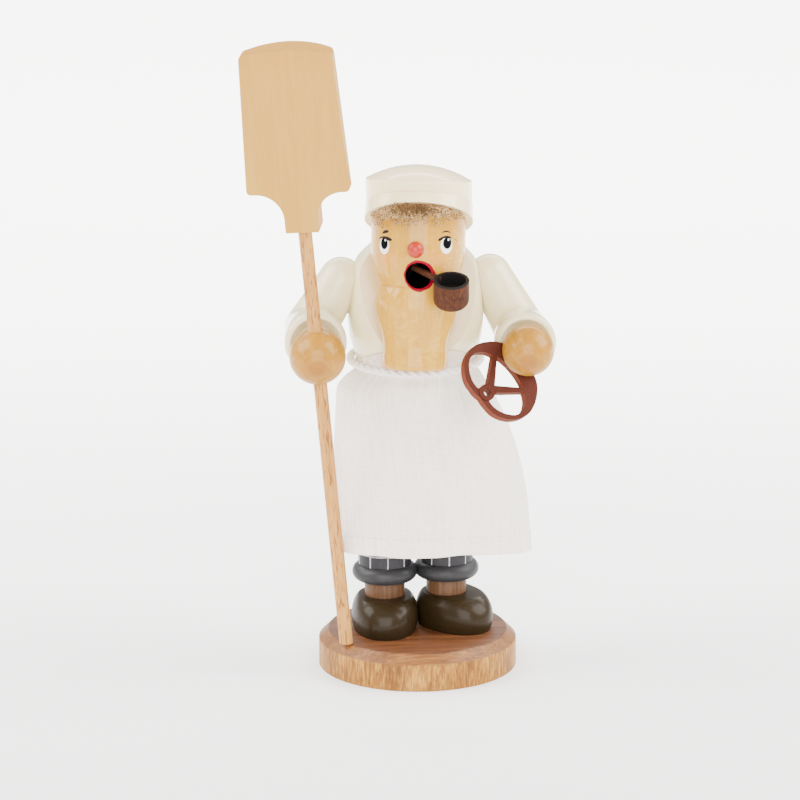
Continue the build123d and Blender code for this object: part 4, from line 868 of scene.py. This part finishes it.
def twistTree(material):
    # strands wound round any path of edges
    tree, graph, flows, sockets = buildTree("twistedCord", [
        ("Geometry", "NodeSocketGeometry", None), ("Strand", "NodeSocketFloat", 0.0007),
        ("Offset", "NodeSocketFloat", 0.0006), ("Turns", "NodeSocketFloat", 24.0)])
    curve = graph.node("GeometryNodeMeshToCurve", None, {0: flows["Geometry"]})
    curve = graph.node("GeometryNodeResampleCurve", None, {"Curve": curve, "Count": cordShape["samples"]})
    factor = graph.node("GeometryNodeSplineParameter", out="Factor")
    normal = graph.node("GeometryNodeInputNormal")
    tangent = graph.node("GeometryNodeInputTangent")
    other = graph.node("ShaderNodeVectorMath", {"operation": "CROSS_PRODUCT"}, {0: tangent, 1: normal})
    ring = graph.node("GeometryNodeCurvePrimitiveCircle", None, {
        "Resolution": cordShape["sides"], "Radius": flows["Strand"]})
    joined = graph.tree.nodes.new("GeometryNodeJoinGeometry")
    for phase in (0.0, math.pi):
        angle = factor * flows["Turns"] * (2 * math.pi) + phase
        aside = graph.node("ShaderNodeVectorMath", {"operation": "SCALE"}, {
            0: normal, "Scale": angle.math("COSINE") * flows["Offset"]})
        above = graph.node("ShaderNodeVectorMath", {"operation": "SCALE"}, {
            0: other, "Scale": angle.math("SINE") * flows["Offset"]})
        shift = graph.node("ShaderNodeVectorMath", {"operation": "ADD"}, {0: aside, 1: above})
        strand = graph.node("GeometryNodeSetPosition", None, {"Geometry": curve, "Offset": shift})
        tube = graph.node("GeometryNodeCurveToMesh", None, {"Curve": strand, "Profile Curve": ring,
                                                            "Fill Caps": True})
        graph.tree.links.new(tube.socket, joined.inputs[0])
    smooth = graph.node("GeometryNodeSetShadeSmooth", None, {"Geometry": Flow(graph, joined.outputs[0])})
    closeTree(graph, smooth, material)
    return tree, sockets


cordFluff = Finish("cordCotton")
fluff = cordFluff.noise(cordFluff.spot, 2.2, 5, 0.7)
cordFluff.set(Base_Color=cordFluff.ramp(fluff, [(0.3, (0.80, 0.73, 0.71)), (0.6, (0.96, 0.92, 0.90))]),
             Roughness=0.95, Sheen_Weight=0.4, Normal=cordFluff.bump(fluff, 0.7, 0.12))
cordTree, cordSockets = twistTree(cordFluff.material)


def layCord(name, path, closed, cord, turns):
    # two strands along a path, on the upper figure
    sizes = {"Strand": cord["strand"] * mm, "Offset": cord["offset"] * mm, "Turns": turns}
    return bakeTree(name, pathMesh(name + "_path", path, closed), cordTree, cordSockets, sizes,
                    "upper_figure")


waist = {"radius": 19.62, "height": 95.2, "strand": 0.66, "offset": 0.56, "turns": 21, "around": 96}
ring = [upperPlace(waist["radius"] * math.cos(a), waist["radius"] * math.sin(a), waist["height"])
        for a in (2 * math.pi * i / waist["around"] for i in range(waist["around"]))]
waistCord = layCord("waist_cord_twist", ring, True, waist, waist["turns"])
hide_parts("waist_cord")

knot = {
    "radius": 1.55, "strand": 0.62, "offset": 0.5, "turns": 5.0, "stand": 0.9, "steps": 60,
    "lobe": 0.55, "wide": 0.8, "deep": 0.6, "tall": 0.62,
    "tail": 11.5, "spread": 14.0, "tailTurns": 3.5, "tailSteps": 24, "tailAside": 0.9, "sway": 0.7,
    "tailBack": 0.2, "tailIn": 0.3, "tailDrop": 0.8,
}
knotCentre = upperPlace(0, waist["radius"] + knot["stand"], waist["height"])
knotPath = []
for i in range(knot["steps"] + 1):
    # an overhand knot: a trefoil-like loop that runs out into both tails
    t = -math.pi * 1.05 + 2.1 * math.pi * i / knot["steps"]
    x = knot["radius"] * (math.sin(t) + knot["lobe"] * math.sin(2 * t)) * knot["wide"]
    y = knot["radius"] * knot["lobe"] * math.sin(3 * t) * knot["deep"]
    z = knot["radius"] * (math.cos(t) - knot["lobe"] * math.cos(2 * t)) * knot["tall"]
    knotPath.append(knotCentre + upperSide * x + upperBack * y + Vector((0, 0, z)))
knotPiece = layCord("waist_knot", knotPath, False, knot, knot["turns"])
for side, sign in (("right", -1), ("left", 1)):
    lean = math.radians(knot["spread"]) * sign
    tail = []
    for i in range(knot["tailSteps"] + 1):
        s = i / knot["tailSteps"]
        sway = knot["sway"] * math.sin(s * 4.0 + sign)
        x = sign * knot["tailAside"] + math.sin(lean) * knot["tail"] * s + sway * s
        y = knot["tailBack"] - knot["tailIn"] * s
        z = -knot["tailDrop"] - math.cos(lean) * knot["tail"] * s
        tail.append(knotCentre + upperSide * x + upperBack * y + Vector((0, 0, z)))
    layCord("waist_tail_" + side, tail, False, knot, knot["tailTurns"])
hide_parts("waist_knot")
print("cord twisted and knotted")


# hair: a band of curls by Geometry Nodes on the head under the cap's slanted rim

fur = {
    "low": 43.5, "rimHeight": 44.2, "rimLean": 23.0, "right": 77.0, "left": 66.0, "stand": 0.1, "bulge": 0.5,
    "waves": [(0.5, 9, 0), (0.45, 23, 1)], "longest": -0.55, "lobe": 0.5, "lobeHalf": 0.3,
    "riseLeft": 1.4, "riseRight": 1.6, "tuck": 0.5, "tuckSway": 0.35, "least": 0.05, "columns": 120,
    "seed": 7,
}
rimUp = Matrix.Rotation(math.radians(-fur["rimLean"]), 3, headSide) @ headUp


def furPoint(u, v, topShare=1.0, lowShare=0.0):
    # v runs down from the cap's rim to the ragged lower edge
    v = 1 - v
    angle = math.radians(-fur["right"] + (fur["right"] + fur["left"]) * u)
    outward = headSide * math.sin(angle) - headBack * math.cos(angle)
    radius = skull["radius"] + fur["stand"] + fur["bulge"] * v
    # longest a little to its right of the middle, shorter towards both ends
    aside = angle - fur["longest"]
    low = fur["low"] + sum(size * math.sin(angle * waves + begin) for size, waves, begin in fur["waves"])
    low -= fur["lobe"] * swell(aside, fur["lobeHalf"])
    low += fur["riseLeft"] * max(0.0, aside) + fur["riseRight"] * max(0.0, -aside)
    # height of the rim's plane over this side of the head
    top = (headUp * fur["rimHeight"] - outward * radius).dot(rimUp) / headUp.dot(rimUp)
    high = max(top - fur["tuck"] + fur["tuckSway"] * math.sin(angle), low + fur["least"])
    share = lowShare + (topShare - lowShare) * v
    return Vector(skull["origin"]) + outward * radius + headUp * (low + (high - low) * share)


furMesh = clothMesh("furBand", 10, fur["columns"], furPoint, 50.0, 4.0)
rootMesh = clothMesh("furRoots", 6, fur["columns"], lambda u, v: furPoint(u, v, 1.0, 0.3), 50.0, 4.0)
strayMesh = clothMesh("furStrays", 4, fur["columns"], lambda u, v: furPoint(u, v, 0.4, 0.0), 50.0, 1.6)
furTones = {
    "strands": [(0.38, (0.09, 0.038, 0.012)), (0.48, (0.30, 0.160, 0.058)), (0.57, (0.70, 0.480, 0.220))],
    "rimShade": (0.055, 0.022, 0.008), "rimShadeShare": 0.85, "rimShadeFrom": 45.6, "rimShadeSide": -0.5, "roughness": 0.9,
    "shine": 0.1,
}
hairFinish = Finish("hairFur")
strandTone = hairFinish.noise(hairFinish.spot, 2.4, 3, 0.6)
furSide = hairFinish.along(headSide, skull["origin"]) - furTones["rimShadeSide"]
furHigh = hairFinish.along(headUp, skull["origin"]) - furTones["rimShadeFrom"]
# painted shade: darker in the thick middle just under the cap's rim, paler where it thins out
clump = hairFinish.noise(hairFinish.spot, 0.8, 2)
rimShade = (1.5 - abs(furSide) * 0.14).clip() * (furHigh * 0.5 + (clump - 0.5) * 3).clip()
furColour = hairFinish.mix(rimShade * furTones["rimShadeShare"], hairFinish.ramp(strandTone, furTones["strands"]),
                        furTones["rimShade"])
hairFinish.set(Base_Color=furColour, Roughness=furTones["roughness"], Specular_IOR_Level=furTones["shine"])

curlShape = {"points": 12, "sides": 3, "taper": 0.5, "rise": 1.4, "least": 0.5, "most": 1.25, "seed": 11}
tree, graph, flows, sockets = buildTree("curlyFur", [
    ("Geometry", "NodeSocketGeometry", None), ("Density", "NodeSocketFloat", 1e6),
    ("Seed", "NodeSocketInt", 1), ("Curl", "NodeSocketFloat", 0.0006), ("Thick", "NodeSocketFloat", 0.00006),
    ("Turns", "NodeSocketFloat", 1.0)])
dots = graph.node("GeometryNodeDistributePointsOnFaces", None, {
    "Mesh": flows["Geometry"], "Density": flows["Density"], "Seed": flows["Seed"]})
spiral = graph.node("GeometryNodeCurveSpiral", None, {
    "Resolution": curlShape["points"], "Rotations": flows["Turns"], "Start Radius": flows["Curl"],
    "End Radius": flows["Curl"] * curlShape["taper"], "Height": flows["Curl"] * curlShape["rise"]})
section = graph.node("GeometryNodeCurvePrimitiveCircle", None, {
    "Resolution": curlShape["sides"], "Radius": flows["Thick"]})
curl = graph.node("GeometryNodeCurveToMesh", None, {"Curve": spiral, "Profile Curve": section})
spin = graph.node("FunctionNodeRandomValue", {"data_type": "FLOAT_VECTOR"}, {
    0: (-math.pi, -math.pi, -math.pi), 1: (math.pi, math.pi, math.pi), "Seed": flows["Seed"]})
size = graph.node("FunctionNodeRandomValue", {"data_type": "FLOAT"}, {
    2: curlShape["least"], 3: curlShape["most"], "Seed": curlShape["seed"]}, out=1)
curls = graph.node("GeometryNodeInstanceOnPoints", None, {
    "Points": dots, "Instance": curl, "Rotation": spin, "Scale": size})
closeTree(graph, curls, hairFinish.material)
layers = {
    "hair_curls": {"mesh": furMesh, "Density": 1.9e6, "Curl": 1.10 * mm, "Thick": 0.11 * mm, "Turns": 0.5},
    "hair_strays": {"mesh": strayMesh, "Density": 1.0e6, "Curl": 1.3 * mm, "Thick": 0.08 * mm, "Turns": 0.5},
}
grown = []
for label, layer in layers.items():
    values = {key: value for key, value in layer.items() if key != "mesh"}
    values["Seed"] = fur["seed"] + len(grown)
    grown.append(bakeTree(label, layer["mesh"], tree, sockets, values, "upper_figure"))
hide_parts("hair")
rootMesh.materials.append(hairFinish.material)
link("hair_roots", rootMesh, "upper_figure")
